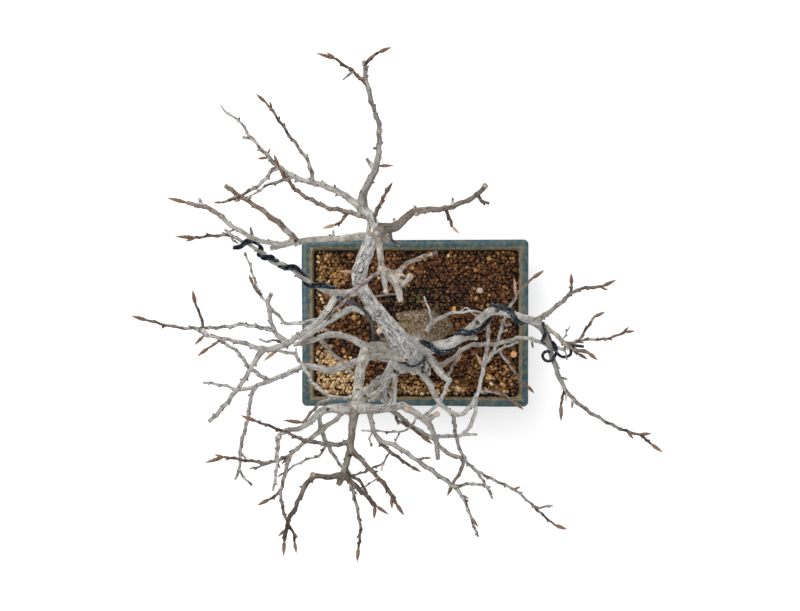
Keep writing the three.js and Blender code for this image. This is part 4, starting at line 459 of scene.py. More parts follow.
# The tone of a limb's bark, which is 0 craggy and silver grey, 0.15 smooth and grey, 0.5 beige or 1 reddish
# brown, and how dark it is, from 0 pale to 1 dark. What grows from a limb shares both, unless it has its
# own.
BARK_TONES = {
  "leader": [0, 0], "upper": [0.2, 0.6], "upper_left": [0.8, 0.1], "upper_right": [0.85, 0.1],
  "crown_twig": [0.95, 0.2], "left_high": [0.3, 0.15], "left_high_a": [0.45, 0.15],
  "cross_twig": [0.75, 0.2], "right_high": [0.72, 0.85], "left_upper": [0.3, 0.1],
  "left_upper_a": [0.95, 0.2], "top": [0.45, 0.32], "top_left": [0.6, 0.25], "top_right": [0.7, 0.25],
  "top_right_b": [0.8, 0.15], "top_stub": [0.15, 0.1], "flare_web": [0.8, 0], "crown_web": [0.5, 0],
  "left_mid": [0.15, 0.1], "left_pale": [0.15, 0], "left_mid_down": [0.15, 0.35], "left_mid_up": [0.2, 0.2],
  "front": [0.4, 0], "left_inner": [0.3, 0], "front_left": [0.3, 0.15], "front_thin": [0.2, 0],
  "front_corner": [0.4, 0.3], "front_corner_b": [0.4, 0.6], "front_west": [0.5, 0.55],
  "front_grey": [0.15, 0.25], "front_down": [0.65, 0.85], "front_mid_left": [0.55, 0.65],
  "front_down_left": [0.75, 1], "front_down_right": [0.85, 0.9], "front_tail": [0.15, 0.6],
  "front_fork": [0.7, 0.75], "front_right": [0.3, 0.4], "front_right_a": [0.2, 0.45],
  "front_right_c": [0.15, 0.5], "front_right_b": [0.6, 0.5], "left_low": [0.15, 0.15],
  "left_low_b": [0.15, 0.45], "inner_low": [0.15, 0], "low_stub": [0.2, 0], "right_thin": [0.35, 0.1],
  "centre_twig": [0.3, 0], "right_low": [0.15, 0], "right_low_h": [0.2, 0.55], "right": [0.15, 0],
  "right_front": [0.25, 0.75], "right_back": [0.4, 0.5], "right_mid": [0.4, 0.05], "right_mid_c": [0.3, 0],
  "rotten_stub": [0.6, 0.75],
}

# Thin limbs with the smooth pale bark of old wood.
PALE_TWIGS = (
  "left_inner_a", "front_thin", "front_long", "right_low", "right_low_a", "right_fork", "centre_twig",
  "centre_twig_a", "low_stub_a", "left_inner", "left_low", "right_thin", "right_low_c",
)

# Knobs of orange wood and clustered bud scales: the limb, the point as it is seen, and the seen radius.
KNOBS = [
  ["left_upper_a", -163, 107.5, 3.9], ["upper", -20.5, 174.5, 3.1], ["left_high", -149, 167.5, 2.4],
  ["left_high_c", -146, 118, 2.2], ["cross_twig", -113, 126, 2.2], ["right_high", 85, 119, 3],
  ["right_high", 17, 92, 3], ["front_down_left", -87, -169.5, 3], ["front_left", -121, -132, 2.8],
  ["front_corner", -110, -151, 2.4], ["front_right_stub", 37, -108.5, 2.9], ["left_mid", -194, -29, 2.6],
  ["top", -18.5, 36, 4.2], ["front", -43, -99, 5.2], ["front_right", 7, -103, 4.2],
  ["top_right", 0.5, 6, 3], ["top_right_a", 10, 29, 3.4], ["top_stub", -14, 14.5, 2.7],
  ["top_right_b", 31, 51.2, 2.2], ["leader", -28, 76, 6], ["right_low", 52, -108, 3],
]

# Marks on the thick wood, as they are seen: x, y and the radius. Hollows are where limbs died, painted near
# black inside as dead wood and as painted shade, and sawn faces are where limbs were taken off.
SAWN_FACES = [[-20, -24, 4.4], [4.5, -53, 3.4]]
HOLLOWS = [
  [-22, -11, 3.6], [-40, 33, 1.6], [-5.5, -41, 4], [-12, -35, 3], [-17, -30, 2.8], [6.5, -53.5, 1.9],
  [24.5, -58.5, 2], [23, -62, 2.4], [23, -66, 2.6], [26, -68, 2], [29.5, -60.5, 2], [29, -64, 2],
  [-5, -66, 2.2], [-2, -68, 1.6], [2, 28, 2], [4.5, 27.4, 2], [77, -17.5, 3.4], [97, -4.5, 3],
  [-31, -43, 1.8], [-42, -84, 2.2], [-43, -60, 1.6], [-72, -104, 1.8], [6, -103, 2], [-50, -150, 1.8],
  [-62, 8, 1.8], [-104, 64, 2],
]

# The dark wire's run from the left limb down the leader to the ring round the fork: the limb that it lies on,
# the point as it is seen, and how far above the limb's middle line it runs there.
RING_WIRE = [
  ["leader", -57, 6, 20], ["leader", -51, 3, 12], ["leader", -45, 1.5, 4], ["leader", -38, -3, -3],
  ["leader", -32, -10.5, -5], ["leader", -28, -17.5, -4], ["leader", -26.5, -25, -4],
  ["front", -25.5, -30, -2], ["front", -24, -36, -9], ["front", -16, -42, -13], ["front", -8, -47, -14],
  ["trunk", -2, -51, -8], ["trunk", 0.6, -52.5, 5], ["trunk", 3, -56.5, 7], ["trunk", 7, -60.3, 7],
  ["trunk", 12, -61.6, 7], ["trunk", 17, -60.5, 7], ["trunk", 21, -57.5, 7], ["trunk", 23.5, -54.5, 6],
  ["trunk", 25.5, -51.5, 3],
]

# How many seats at the ring's end only one of its two strands reaches.
LONE_SEATS = 10


# Places and smooth lines.

def sight_scale(height):
    """How much larger a thing is than it is seen, at a height above the rim."""
    return (EYE_HEIGHT - height) / (EYE_HEIGHT - PLAN_HEIGHT)


def place(x, y, height):
    """The true place of a point that is seen at x, y and lies at a height above the rim."""
    scale = sight_scale(height)
    return Vector((x * scale, y * scale, RIM_HEIGHT + height))


def along(values, fraction):
    """The value at a fraction of a list whose entries are spread evenly from 0 to 1."""
    position = min(max(fraction, 0.0), 1.0) * (len(values) - 1)
    index = min(int(position), len(values) - 2)
    share = position - index
    return values[index] * (1 - share) + values[index + 1] * share


def smoothstep(low, high, value):
    """0 at the low end and 1 at the high end, with a soft start and end. Low may be more than high."""
    share = min(max((value - low) / (high - low), 0.0), 1.0)
    return share * share * (3 - 2 * share)


def smooth_route(knots, step):
    """Rows about a step apart on a smooth line through the knots, whose first three numbers are a place."""
    rows = [Vector(knot) for knot in knots]
    spans = [max((b.xyz - a.xyz).length, 1e-6) for a, b in zip(rows, rows[1:])]
    slopes = [(rows[1] - rows[0]) / spans[0]]
    for i in range(1, len(rows) - 1):
        slopes.append((rows[i + 1] - rows[i - 1]) / (spans[i - 1] + spans[i]))
    slopes.append((rows[-1] - rows[-2]) / spans[-1])
    route = []
    for i, span in enumerate(spans):
        count = max(1, round(span / step))
        for j in range(count):
            t = j / count
            start = rows[i] * (2 * t**3 - 3 * t**2 + 1) + slopes[i] * (span * (t**3 - 2 * t**2 + t))
            end = rows[i + 1] * (3 * t**2 - 2 * t**3) + slopes[i + 1] * (span * (t**3 - t**2))
            route.append(start + end)
    route.append(rows[-1])
    return route


# The limbs' middle lines.

class Station:
    """A place on a limb's middle line: as it is seen, and as it is."""

    def __init__(self, x, y, height, width):
        self.x = x
        self.y = y
        self.height = height
        self.point = place(x, y, height)
        self.radius = 0.5 * width * sight_scale(height)
        self.reach = 0.0
        self.frame = Matrix.Identity(4)


class Limb:
    """A limb's stations from its root to its end, with the tip of its end bud where it has one."""

    def __init__(self, name, stations, end, tip, seed):
        self.name = name
        self.stations = stations
        self.end = end
        self.tip = tip
        self.seed = seed
        self.tone, self.dusk = 0.2, 0.0
        for before, here in zip(stations, stations[1:]):
            here.reach = before.reach + (here.point - before.point).length
        set_frames(stations)

    @property
    def length(self):
        return self.stations[-1].reach


def set_frames(stations):
    """Gives each station a frame whose z runs along the limb and which doesn't twist about it."""
    normal = None
    for i, station in enumerate(stations):
        before = stations[max(i - 1, 0)].point
        after = stations[min(i + 1, len(stations) - 1)].point
        tangent = (after - before).normalized()
        if normal is None:
            normal = Vector((1, 0, 0)) if abs(tangent.z) > 0.8 else UP.copy()
        normal = (normal - tangent * normal.dot(tangent)).normalized()
        turn = Matrix((normal, tangent.cross(normal), tangent)).transposed().to_4x4()
        station.frame = Matrix.Translation(station.point) @ turn


def nearest_station(stations, x, y):
    """The station that is seen nearest to a point."""
    return min(stations, key=lambda s: (s.x - x) ** 2 + (s.y - y) ** 2)


def wandering(x, y, height, width, seed):
    """A station moved a little off its line, as real wood wanders."""
    sway = min(0.09 * width, 0.45)
    at = Vector((x * 0.11, y * 0.11, seed * 3.7))
    x += sway * noise.noise(at)
    y += sway * noise.noise(at + Vector((31, 0, 0)))
    height += 3.2 * sway * noise.noise(at * 0.5 + Vector((0, 57, 0)))
    return Station(x, y, height, width)


def knots_along(path, heights, widths, base=0.0):
    """The points of a path with the heights, above a base, and the widths that are spread evenly along it."""
    reach = [0.0]
    for a, b in zip(path, path[1:]):
        reach.append(reach[-1] + math.dist(a, b))
    knots = []
    for (x, y), distance in zip(path, reach):
        fraction = distance / reach[-1]
        knots.append((x, y, base + along(heights, fraction), along(widths, fraction)))
    return knots


def grow_limb(row, seed, grown):
    """A limb that starts on the middle line of the limb that it grows from."""
    name, parent_name, path, rise, widths, end = row
    parent = grown[parent_name]
    root = nearest_station(parent.stations, *path[0])
    knots = knots_along([[root.x, root.y], *path[1:]], rise, widths, root.height)
    tip = place(*knots.pop()[:3]) if end == "bud" else None
    stations = [Station(*knots[0])]
    stations += [wandering(*knot, seed) for knot in smooth_route(knots, STEP)[1:]]
    limb = Limb(name, stations, end, tip, seed)
    limb.tone, limb.dusk = BARK_TONES.get(name, (parent.tone, parent.dusk))
    zigzag(limb)
    if parent.end == "cut" and (parent.stations[-1].point - root.point).length < 3 * root.radius + 4:
        parent.end = "joined"
    return limb


def zigzag(limb):
    """Turns a thin limb a little at each of its nodes, to one side and the other."""
    places = [0.0, *node_places(limb), limb.length]
    for number, (start, end) in enumerate(zip(places, places[1:])):
        side = 1 if number % 2 else -1
        for station in limb.stations:
            if not start <= station.reach < end:
                continue
            share = (station.reach - start) / (end - start)
            inner = smoothstep(0, 6, station.reach) * smoothstep(0, 6, limb.length - station.reach)
            sway = 0.55 * smoothstep(4.5, 1.5, station.radius) * inner * side * (1 - 2 * share)
            station.point = station.point + station.frame.col[1].xyz * sway
    set_frames(limb.stations)


@functools.cache
def grown_limbs():
    """Every limb of the tree by its name, from the trunk outwards."""
    stations = [Station(*knot) for knot in smooth_route(knots_along(**TRUNK), STEP)]
    grown = {"trunk": Limb("trunk", stations, "cut", None, 0)}
    for seed, row in enumerate(LIMBS + FINE_LIMBS, start=1):
        grown[row[0]] = grow_limb(row, seed, grown)
    return grown


# Meshes.

def mesh_of(bm):
    """The bmesh as a mesh, after which the bmesh is freed."""
    mesh = bpy.data.meshes.new("part")
    bm.to_mesh(mesh)
    bm.free()
    return mesh


def absorb(whole, part):
    """Moves what one bmesh holds into another."""
    mesh = mesh_of(part)
    whole.from_mesh(mesh)
    bpy.data.meshes.remove(mesh)


def modified(bm, kind, **settings):
    """The bmesh as it is after a modifier of a kind and with the settings given."""
    mesh = mesh_of(bm)
    holder = bpy.data.objects.new("holder", mesh)
    bpy.context.collection.objects.link(holder)
    modifier = holder.modifiers.new(kind.title(), kind)
    for key, value in settings.items():
        setattr(modifier, key, value)
    graph = bpy.context.evaluated_depsgraph_get()
    seen = holder.evaluated_get(graph)
    shaped = bpy.data.meshes.new_from_object(seen, preserve_all_data_layers=True, depsgraph=graph)
    bpy.data.objects.remove(holder)
    bpy.data.meshes.remove(mesh)
    changed = bmesh.new()
    changed.from_mesh(shaped)
    bpy.data.meshes.remove(shaped)
    return changed


def finish_piece(name, mesh, material, replaced=(), sharp_angle=None):
    """Brings a mesh to the frame and makes it a piece that rides on the part's body."""
    mesh.name = name
    mesh.transform(TO_FRAME)
    mesh.materials.clear()
    mesh.materials.append(material)
    mesh.shade_smooth()
    if sharp_angle is not None:
        mesh.set_sharp_from_angle(angle=math.radians(sharp_angle))
    piece = bpy.data.objects.new(name, mesh)
    bpy.context.collection.objects.link(piece)
    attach(piece, "root")
    if replaced:
        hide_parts(*replaced)


def ahead(frame_matrix, distance):
    """A frame moved along its own z."""
    return frame_matrix @ Matrix.Translation((0, 0, distance))


def extrude_ring(bm, ring, change):
    """Draws a ring of edges out to a new ring, which is moved by a matrix. Gives its edges and its verts."""
    made = bmesh.ops.extrude_edge_only(bm, edges=ring)["geom"]
    verts = [item for item in made if isinstance(item, bmesh.types.BMVert)]
    fresh = set(verts)
    edges = [item for item in made if isinstance(item, bmesh.types.BMEdge) and fresh.issuperset(item.verts)]
    bmesh.ops.transform(bm, matrix=change, verts=verts)
    return edges, verts


def tube(rings, sides, mark=None, sharp_tip=False):
    """A closed tube through frames, each with its radius. Mark writes what the bark's material reads."""
    bm = bmesh.new()
    sizes = [frame_matrix @ Matrix.Scale(radius, 4) for frame_matrix, radius in rings]
    if mark:
        mark.start(bm)
    made = bmesh.ops.create_circle(bm, cap_ends=False, segments=sides, radius=1.0, matrix=sizes[0])["verts"]
    ring = bm.edges[:]
    first = ring
    if mark:
        mark.ring(made, 0)
    for number in range(1, len(sizes)):
        change = sizes[number] @ sizes[number - 1].inverted()
        ring, made = extrude_ring(bm, ring, change)
        if mark:
            mark.ring(made, number)
    bmesh.ops.edgeloop_fill(bm, edges=first)
    if sharp_tip:
        middle = sum((vert.co for vert in made), Vector()) / len(made)
        bmesh.ops.pointmerge(bm, verts=made, merge_co=middle)
    else:
        bmesh.ops.edgeloop_fill(bm, edges=ring)
    bmesh.ops.recalc_face_normals(bm, faces=bm.faces)
    return bm


# The tree.

class BarkMarks:
    """Writes on a tube's verts what the bark's material reads: place on the limb, age, tone and cuts."""

    FLOATS = ("age", "shoot", "root", "cut", "knot", "tone", "dusk")

    def __init__(self, limb, stations, cut_from=math.inf, dark=0.0):
        self.limb = limb
        self.stations = stations
        self.cut_from = cut_from
        self.dark = dark
        self.nodes = node_places(limb)

    def start(self, bm):
        self.layers = {name: bm.verts.layers.float.new(name) for name in self.FLOATS}
        self.grain = bm.verts.layers.float_vector.new("grain")

    def ring(self, verts, number):
        limb = self.limb
        station = self.stations[min(number, len(self.stations) - 1)]
        inverse = station.frame.inverted()
        node = min(self.nodes, key=lambda reach: abs(station.reach - reach), default=-9.0)
        band = (0.3 + 0.25 * math.sin(node * 9)) * math.exp(-(((station.reach - node) / 0.9) ** 2))
        marks = {
            "age": youth(station) * (0.35 if limb.name in PALE_TWIGS else 1.0),
            "shoot": shoot_share(limb, station),
            "knot": max(self.dark, band),
            "tone": limb.tone,
            "dusk": limb.dusk,
            "cut": float(number >= self.cut_from),
        }
        for vert in verts:
            local = inverse @ vert.co
            vert[self.grain] = Vector((station.reach + GRAIN_SHIFT * limb.seed, local.x, local.y))
            for name, value in marks.items():
                vert[self.layers[name]] = value


def youth(station):
    """0 on old thick wood and 1 on the youngest twigs."""
    return 1.0 - smoothstep(1.0, 3.2, station.radius)


def shoot_share(limb, station):
    """1 on last year's shoots, just behind the buds, and 0 further back."""
    if limb.end != "bud":
        return 0.0
    return smoothstep(52, 10, limb.length - station.reach) * youth(station)


@functools.cache
def node_places(limb):
    """Where the limb's buds and scars of former years stand, as distances from its root."""
    draw = random.Random(limb.seed * 7 + 3)
    places = []
    reach = draw.uniform(5, 9)
    while reach < limb.length - 2:
        places.append(reach)
        reach += draw.uniform(4.5, 10)
    return places


def node_swell(limb, station, places):
    """How much thicker the limb is at a station because of the nodes near it and of its own root."""
    swell = 0.94
    gain = 0.08 + 0.2 * youth(station)
    for place_along in places:
        away = abs(station.reach - place_along)
        if away < 4:
            swell += gain * math.exp(-((away / 1.2) ** 2))
    swell += 0.35 * math.exp(-station.reach / (1.6 * limb.stations[0].radius + 1.5))
    rough = noise.noise(Vector((station.reach * 0.3, limb.seed * 5.1, 0)))
    return swell * (1 + 0.1 * rough)


def thick_count(limb):
    """How many of the limb's stations, from its root, are thick enough to be fused into the wood."""
    if limb.name == "spur":
        return 0
    for i, station in enumerate(limb.stations):
        if station.radius < THICK_RADIUS:
            return i if i > FEWEST_THICK else 0
    return len(limb.stations)


def thick_tube(limb):
    """The thick stretch of a limb, drawn in at its end where it goes on as a twig."""
    count = thick_count(limb)
    if not count:
        return None
    places = node_places(limb)
    stations = limb.stations[:count]
    rings = [(s.frame, s.radius * node_swell(limb, s, places) + 0.12) for s in stations]
    if count < len(limb.stations):
        for back, share in ((1, 0.5), (2, 0.72), (3, 0.9)):
            matrix, radius = rings[-back]
            rings[-back] = (matrix, radius * share)
    sides = max(8, min(28, round(stations[0].radius * 2.4)))
    return tube(rings, sides)


def twig_tube(limb):
    """The thin stretch of a limb, which starts inside the thick one, with a soft edge at its end."""
    count = thick_count(limb)
    if count == len(limb.stations):
        return None
    stations = limb.stations[max(0, count - 4):]
    places = node_places(limb)
    rings = [(s.frame, s.radius * node_swell(limb, s, places)) for s in stations]
    matrix, radius = rings[-1]
    edge = [(0.5, 0.6)]
    cut_from = math.inf
    if limb.end == "cut":
        edge = [(0.3, 0.9), (0.36, 0.7)]
        cut_from = len(rings) + 1
    rings += [(ahead(matrix, past), radius * share) for past, share in edge]
    sides = 10 if stations[0].radius > 1.3 else 8
    return tube(rings, sides, BarkMarks(limb, stations, cut_from))


def thorn(limb, reach, draw):
    """A short spur or the scar of a bud on a node of a limb."""
    station = min(limb.stations, key=lambda s: abs(s.reach - reach))
    turn = draw.choice((-1, 1)) * (math.pi / 2 + draw.uniform(-0.7, 0.7))
    lean = draw.uniform(0.5, 1.1)
    out = station.frame @ Matrix.Rotation(turn, 4, "Z") @ Matrix.Rotation(lean, 4, "Y")
    size = 0.55 + 0.1 * station.radius + draw.uniform(0, 0.3)
    length = station.radius + draw.uniform(0.8, 2.4)
    spots = (0.0, 0.75 * length, length)
    widths = (size * 1.4, size, size * 0.5)
    rings = [(ahead(out, spot), width) for spot, width in zip(spots, widths)]
    return tube(rings, 6, BarkMarks(limb, [station], dark=draw.choice((0.0, 0.35, 0.7))))


def knob(name, x, y, seen_radius, seed):
    """A lump of orange wood or of clustered bud scales on a limb."""
    limb = grown_limbs()[name]
    station = nearest_station(limb.stations, x, y)
    radius = seen_radius * sight_scale(station.height)
    bm = bmesh.new()
    bmesh.ops.create_uvsphere(bm, u_segments=18, v_segments=12, radius=radius)
    marks = BarkMarks(limb, [station])
    marks.start(bm)
    middle = place(x, y, station.height)
    for vert in bm.verts:
        at = vert.co * 0.9 + UP * seed
        vert.co *= 1 + 0.22 * noise.noise(at) + 0.1 * noise.noise(at * 2.6)
        vert.co += middle
    marks.ring(bm.verts, 0)
    for vert in bm.verts:
        spotty = noise.noise(vert.co * 0.8)
        vert[marks.layers["cut"]] = smoothstep(-0.5, 0.1, spotty) * 0.6
        vert[marks.layers["knot"]] = smoothstep(0.1, 0.5, -spotty) * 0.6
    return bm


def spur_limb(name, x, y, end_x, end_y, width, seed):
    """A short spur on a limb, as a limb of its own."""
    root = nearest_station(grown_limbs()[name].stations, x, y)
    start = (root.x, root.y, root.height, width * 1.15)
    end = (end_x, end_y, root.height + 2, width * 0.75)
    stations = [Station(*knot) for knot in smooth_route([start, end], STEP)]
    return Limb("spur", stations, "cut", None, seed)


def root_limbs():
    """The roots that show above the soil, as limbs of thick wood."""
    limbs = []
    for seed, points in enumerate(ROOTS, start=500):
        knots = [*ROOT_START, *[[*point, width] for point, width in zip(points, ROOT_WIDTH)]]
        stations = []
        for x, y, height, width in smooth_route(knots, STEP):
            scale = sight_scale(height)
            stations.append(Station(x / scale, y / scale, height, width / scale))
        limbs.append(Limb("root", stations, "cut", None, seed))
    return limbs


def root_crown():
    """The low, lumpy mound of old wood from which the trunk rises."""
    bm = bmesh.new()
    bmesh.ops.create_icosphere(bm, subdivisions=4, radius=1.0)
    middle = Vector((26.5, -24.5, RIM_HEIGHT - 4))
    for vert in bm.verts:
        lump = 1 + 0.14 * noise.noise(vert.co * 2.3) + 0.05 * noise.noise(vert.co * 6.1)
        vert.co = Vector((vert.co.x * 31 * lump, vert.co.y * 18 * lump, vert.co.z * 14 * lump)) + middle
    return bm


def wood_marks(bm, limbs):
    """Marks the fused wood from the limb's middle line nearest to each vert, and roughens its bark."""
    stations = [(limb, station) for limb in limbs for station in limb.stations[:thick_count(limb)]]
    lookups = [station_tree(stations, low, high) for low, high in ((0, 4), (4, 9), (9, 99))]
    layers = {name: bm.verts.layers.float.new(name) for name in BarkMarks.FLOATS}
    grain_layer = bm.verts.layers.float_vector.new("grain")
    moves = []
    for vert in bm.verts:
        found = [item for tree in lookups for item in tree.find_n(vert.co, 3)]
        index = min(found, key=lambda item: item[2] - stations[item[1]][1].radius)[1]
        limb, station = stations[index]
        local = station.frame.inverted() @ vert.co
        grain = Vector((station.reach + local.z + GRAIN_SHIFT * limb.seed, local.x, local.y))
        vert[grain_layer] = grain
        vert[layers["age"]] = youth(station)
        vert[layers["shoot"]] = shoot_share(limb, station)
        vert[layers["tone"]] = limb.tone if limb.tone else 0.1 * (1 - smoothstep(225, 290, vert.co.z))
        vert[layers["dusk"]] = limb.dusk
        vert[layers["root"]] = rooted(vert.co, limb)
        whole = thick_count(limb) == len(limb.stations)
        if limb.end == "cut" and whole and limb.name not in ("trunk", "root"):
            past = (limb.stations[-1].frame.inverted() @ vert.co).z
            inner = 1 - smoothstep(0.55, 0.9, math.hypot(local.x, local.y) / limb.stations[-1].radius)
            vert[layers["cut"]] = smoothstep(-0.9, -0.2, past) * (0.35 + 0.65 * inner)
        if limb.name == "flare_web":
            vert[layers["cut"]] = 0.5
        moves.append((vert, relief(grain, vert.co, station.radius, vert[layers["root"]])))
    bm.normal_update()
    for vert, amount in moves:
        vert.co += vert.normal * amount
    carve_scars(bm, layers)


def station_tree(stations, low, high):
    """A lookup of the stations whose radius lies between two limits."""
    tree = KDTree(len(stations))
    for index, (limb, station) in enumerate(stations):
        if low <= station.radius < high:
            tree.insert(station.point, index)
    tree.balance()
    return tree


def rooted(point, limb):
    """1 on the root crown and the trunk's foot, and 0 above them."""
    if limb.name == "root":
        return 1.0
    ragged = 20 * noise.noise(point * 0.09)
    if limb.name == "rotten_stub":
        return smoothstep(-6, 12, ragged)
    return 1 - smoothstep(98, 138, point.z - RIM_HEIGHT + ragged) if limb.name == "trunk" else 0.0


def relief(grain, point, radius, root):
    """How far the bark stands out at a place, in millimetres."""
    strength = min(max(radius / 8, 0.2), 1.1)
    ridges = noise.noise(Vector((grain.x * 0.045, grain.y * 0.36, grain.z * 0.36)))
    furrows = 0.35 - abs(noise.noise(Vector((grain.x * 0.07, grain.y * 0.6, grain.z * 0.6))))
    lumps = noise.noise(point * 0.06)
    crust = noise.noise(point * 0.42) * root + 0.9 * noise.noise(point * 0.16) * root
    grooved = 0.6 * ridges - 1.1 * max(furrows, 0.0) * furrow_share(point)
    return strength * grooved + 0.7 * lumps * strength + crust


def furrow_share(point):
    """How deep the bark's furrows are at a place: deepest high on the leader."""
    return 0.35 + 0.65 * smoothstep(230, 330, point.z)


def carve_scars(bm, layers):
    """Hollows with a raised lip where limbs died, dark inside (dead wood and painted shade), and pale sawn
    faces.
    """
    bm.verts.ensure_lookup_table()
    tree = KDTree(len(bm.verts))
    for vert in bm.verts:
        tree.insert(vert.co, vert.index)
    tree.balance()
    bm.normal_update()
    skin = BVHTree.FromBMesh(bm)
    # Hollows are marked to be painted near black inside: dead wood and painted shade.
    scars = [(row, 0.5, layers["knot"]) for row in HOLLOWS]
    scars += [(row, -0.25, layers["cut"]) for row in SAWN_FACES]
    for (x, y, size), deep, mark in scars:
        centre = skin.ray_cast(EYE, place(x, y, 0) - EYE)[0]
        if centre is None:
            continue
        for point, index, distance in tree.find_range(centre, 2.2 * size):
            vert = bm.verts[index]
            share = distance / size
            lip = math.exp(-(((share - 1.15) / 0.35) ** 2))
            inside = 1 - smoothstep(0.7, 1.05, share)
            vert.co += vert.normal * (0.3 * size * lip - deep * size * inside)
            vert[mark] = max(vert[mark], inside)


def bud(neck, tip, width, seed):
    """A slim pointed bud with overlapping scales, from its neck to its tip."""
    axis = tip - neck
    turn = axis.to_track_quat("Z", "Y").to_matrix().to_4x4()
    count = 16
    rings = []
    for number in range(count + 1):
        share = number / count
        if share < BUD_BELLY:
            size = 0.5 + 0.5 * smoothstep(0, BUD_BELLY, share)
        else:
            size = max(math.cos((share - BUD_BELLY) / (1 - BUD_BELLY) * math.pi / 2), 0.0) ** 1.05
        bend = 0.05 * axis.length * math.sin(share * math.pi)
        spot = Matrix.Translation(neck + axis * share + UP * bend) @ turn
        rings.append((spot, max(0.5 * width * size, 0.05)))
    bm = tube(rings, 10, sharp_tip=True)
    layers = [bm.verts.layers.float.new(name) for name in ("scale", "tone", "pale")]
    over_pot = 1.0 if abs(neck.x) < 0.46 * POT_LENGTH and abs(neck.y) < 0.46 * POT_DEPTH else 0.0
    inverse = (Matrix.Translation(neck) @ turn).inverted()
    tone = random.Random(seed).random()
    for vert in bm.verts:
        local = inverse @ vert.co
        share = local.z / axis.length
        spiral = (share * 5 + math.atan2(local.y, local.x) / math.pi + tone) % 1.0
        for layer, value in zip(layers, (spiral, tone, over_pot)):
            vert[layer] = value
        outward = Vector((local.x, local.y, 0))
        vert.co += (turn @ outward) * (0.22 * (spiral - 0.5))
    return bm


def all_buds():
    """The neck, the tip and the width of every bud."""
    grown = grown_limbs()
    buds = []
    for limb in grown.values():
        if limb.tip is not None:
            last = limb.stations[-1]
            length = (limb.tip - last.point).length
            width = min(BUD_WIDTH, 0.3 * length + 0.6) * 0.92 * sight_scale(last.height)
            buds.append((last.point, limb.tip, width))
    for name, x, y, tip_x, tip_y in SIDE_BUDS:
        root = nearest_station(grown[name].stations, x, y)
        tip = place(tip_x, tip_y, root.height + 3)
        neck = root.point.lerp(tip, min(root.radius / (tip - root.point).length, 0.5) * 0.8)
        length = (tip - neck).length
        buds.append((neck, tip, min(0.8 * BUD_WIDTH, 0.3 * length + 0.3) * sight_scale(root.height)))
    return buds


# The training wires and the tie wire.

class Clearance:
    """Finds how far a point must move to stand clear of the limbs' bark."""

    def __init__(self, names):
        grown = grown_limbs()
        self.stations = [station for name in names for station in grown[name].stations]
        self.tree = KDTree(len(self.stations))
        for index, station in enumerate(self.stations):
            self.tree.insert(station.point, index)
        self.tree.balance()

    def nearest(self, point):
        found = self.tree.find_n(point, 8)
        return self.stations[min(found, key=lambda item: item[2] - self.stations[item[1]].radius)[1]]

    def push(self, point, clearance):
        """The point, moved straight out of the limb nearest to it where it lies inside the clearance."""
        station = self.nearest(point)
        tangent = station.frame.col[2].xyz
        away = point - station.point
        away -= tangent * away.dot(tangent)
        short = station.radius + clearance - away.length
        return point + away.normalized() * max(short, 0.0)


def wire_seats(limbs, path):
    """Where a wire runs, and the limb's middle line next to it."""
    stations = [station for name in limbs for station in grown_limbs()[name].stations]
    seats = []
    for x, y, lift in path:
        station = nearest_station(stations, x, y)
        seats.append((place(x, y, station.height + lift), station.point))
    return seats


def strand(seats, limbs, radius, spread, gap):
    """A round wire through seats, held off the bark by a gap and shifted sideways on it by a spread."""
    knots = []
    for i, (point, core) in enumerate(seats):
        before = seats[max(i - 1, 0)][0]
        after = seats[min(i + 1, len(seats) - 1)][0]
        sideways = (after - before).cross(point - core).normalized()
        knots.append(point + sideways * spread)
    clearance = Clearance(limbs)
    route = smooth_route(knots, 1.0)
    for _ in range(5):
        route = [clearance.push(point, radius + gap) for point in route]
        inner = [(a + 2 * b + c) / 4 for a, b, c in zip(route, route[1:], route[2:])]
        route = [route[0], *inner, route[-1]]
    route = [clearance.push(point, radius + gap) for point in route]
    return round_wire(route, radius)


def round_wire(route, radius):
    """A closed round wire along a route, with a soft edge at both ends."""
    stations = [Station(0, 0, 0, 0) for _ in route]
    for station, point in zip(stations, route):
        station.point = point
    set_frames(stations)
    rings = [(station.frame, radius) for station in stations]
    start, end = rings[0][0], rings[-1][0]
    return tube([(ahead(start, -0.25), radius * 0.8), *rings, (ahead(end, 0.25), radius * 0.8)], 12)


def ring_seats():
    """The seats of the wire that leaves the left limb, winds down the leader and rounds the fork."""
    return [wire_seats([name], [spot])[0] for name, *spot in RING_WIRE]


# The pot.

def outline_points(half_length, half_depth, corner):
    """Points round a rounded rectangle, in the same order and number for every size."""
    arcs = []
    for quarter, (sign_x, sign_y) in enumerate(((1, 1), (-1, 1), (-1, -1), (1, -1))):
        centre = Vector((sign_x * (half_length - corner), sign_y * (half_depth - corner)))
        angles = [math.pi / 2 * (quarter + i / CORNER_STEPS) for i in range(CORNER_STEPS + 1)]
        arcs.append([centre + corner * Vector((math.cos(angle), math.sin(angle))) for angle in angles])
    points = []
    for arc, following in zip(arcs, arcs[1:] + arcs[:1]):
        points += arc
        points += [arc[-1].lerp(following[0], i / LONG_STEPS) for i in range(1, LONG_STEPS)]
    return points


def slab(rows):
    """A closed body through rounded rectangles, each given as half length, half depth, corner and height."""
    bm = bmesh.new()
    loops = []
    for half_length, half_depth, corner, height in rows:
        points = outline_points(half_length, half_depth, corner)
        verts = bmesh.ops.create_circle(bm, cap_ends=False, segments=len(points), radius=1.0)["verts"]
        for vert, point in zip(verts, points):
            vert.co = Vector((point.x, point.y, height)) + POT_CENTRE
        loops.append(list(dict.fromkeys(edge for vert in verts for edge in vert.link_edges)))
    bmesh.ops.edgeloop_fill(bm, edges=loops[0])
    bmesh.ops.edgeloop_fill(bm, edges=loops[-1])
    for lower, upper in zip(loops, loops[1:]):
        bmesh.ops.bridge_loops(bm, edges=lower + upper)
    bmesh.ops.recalc_face_normals(bm, faces=bm.faces)
    return bm


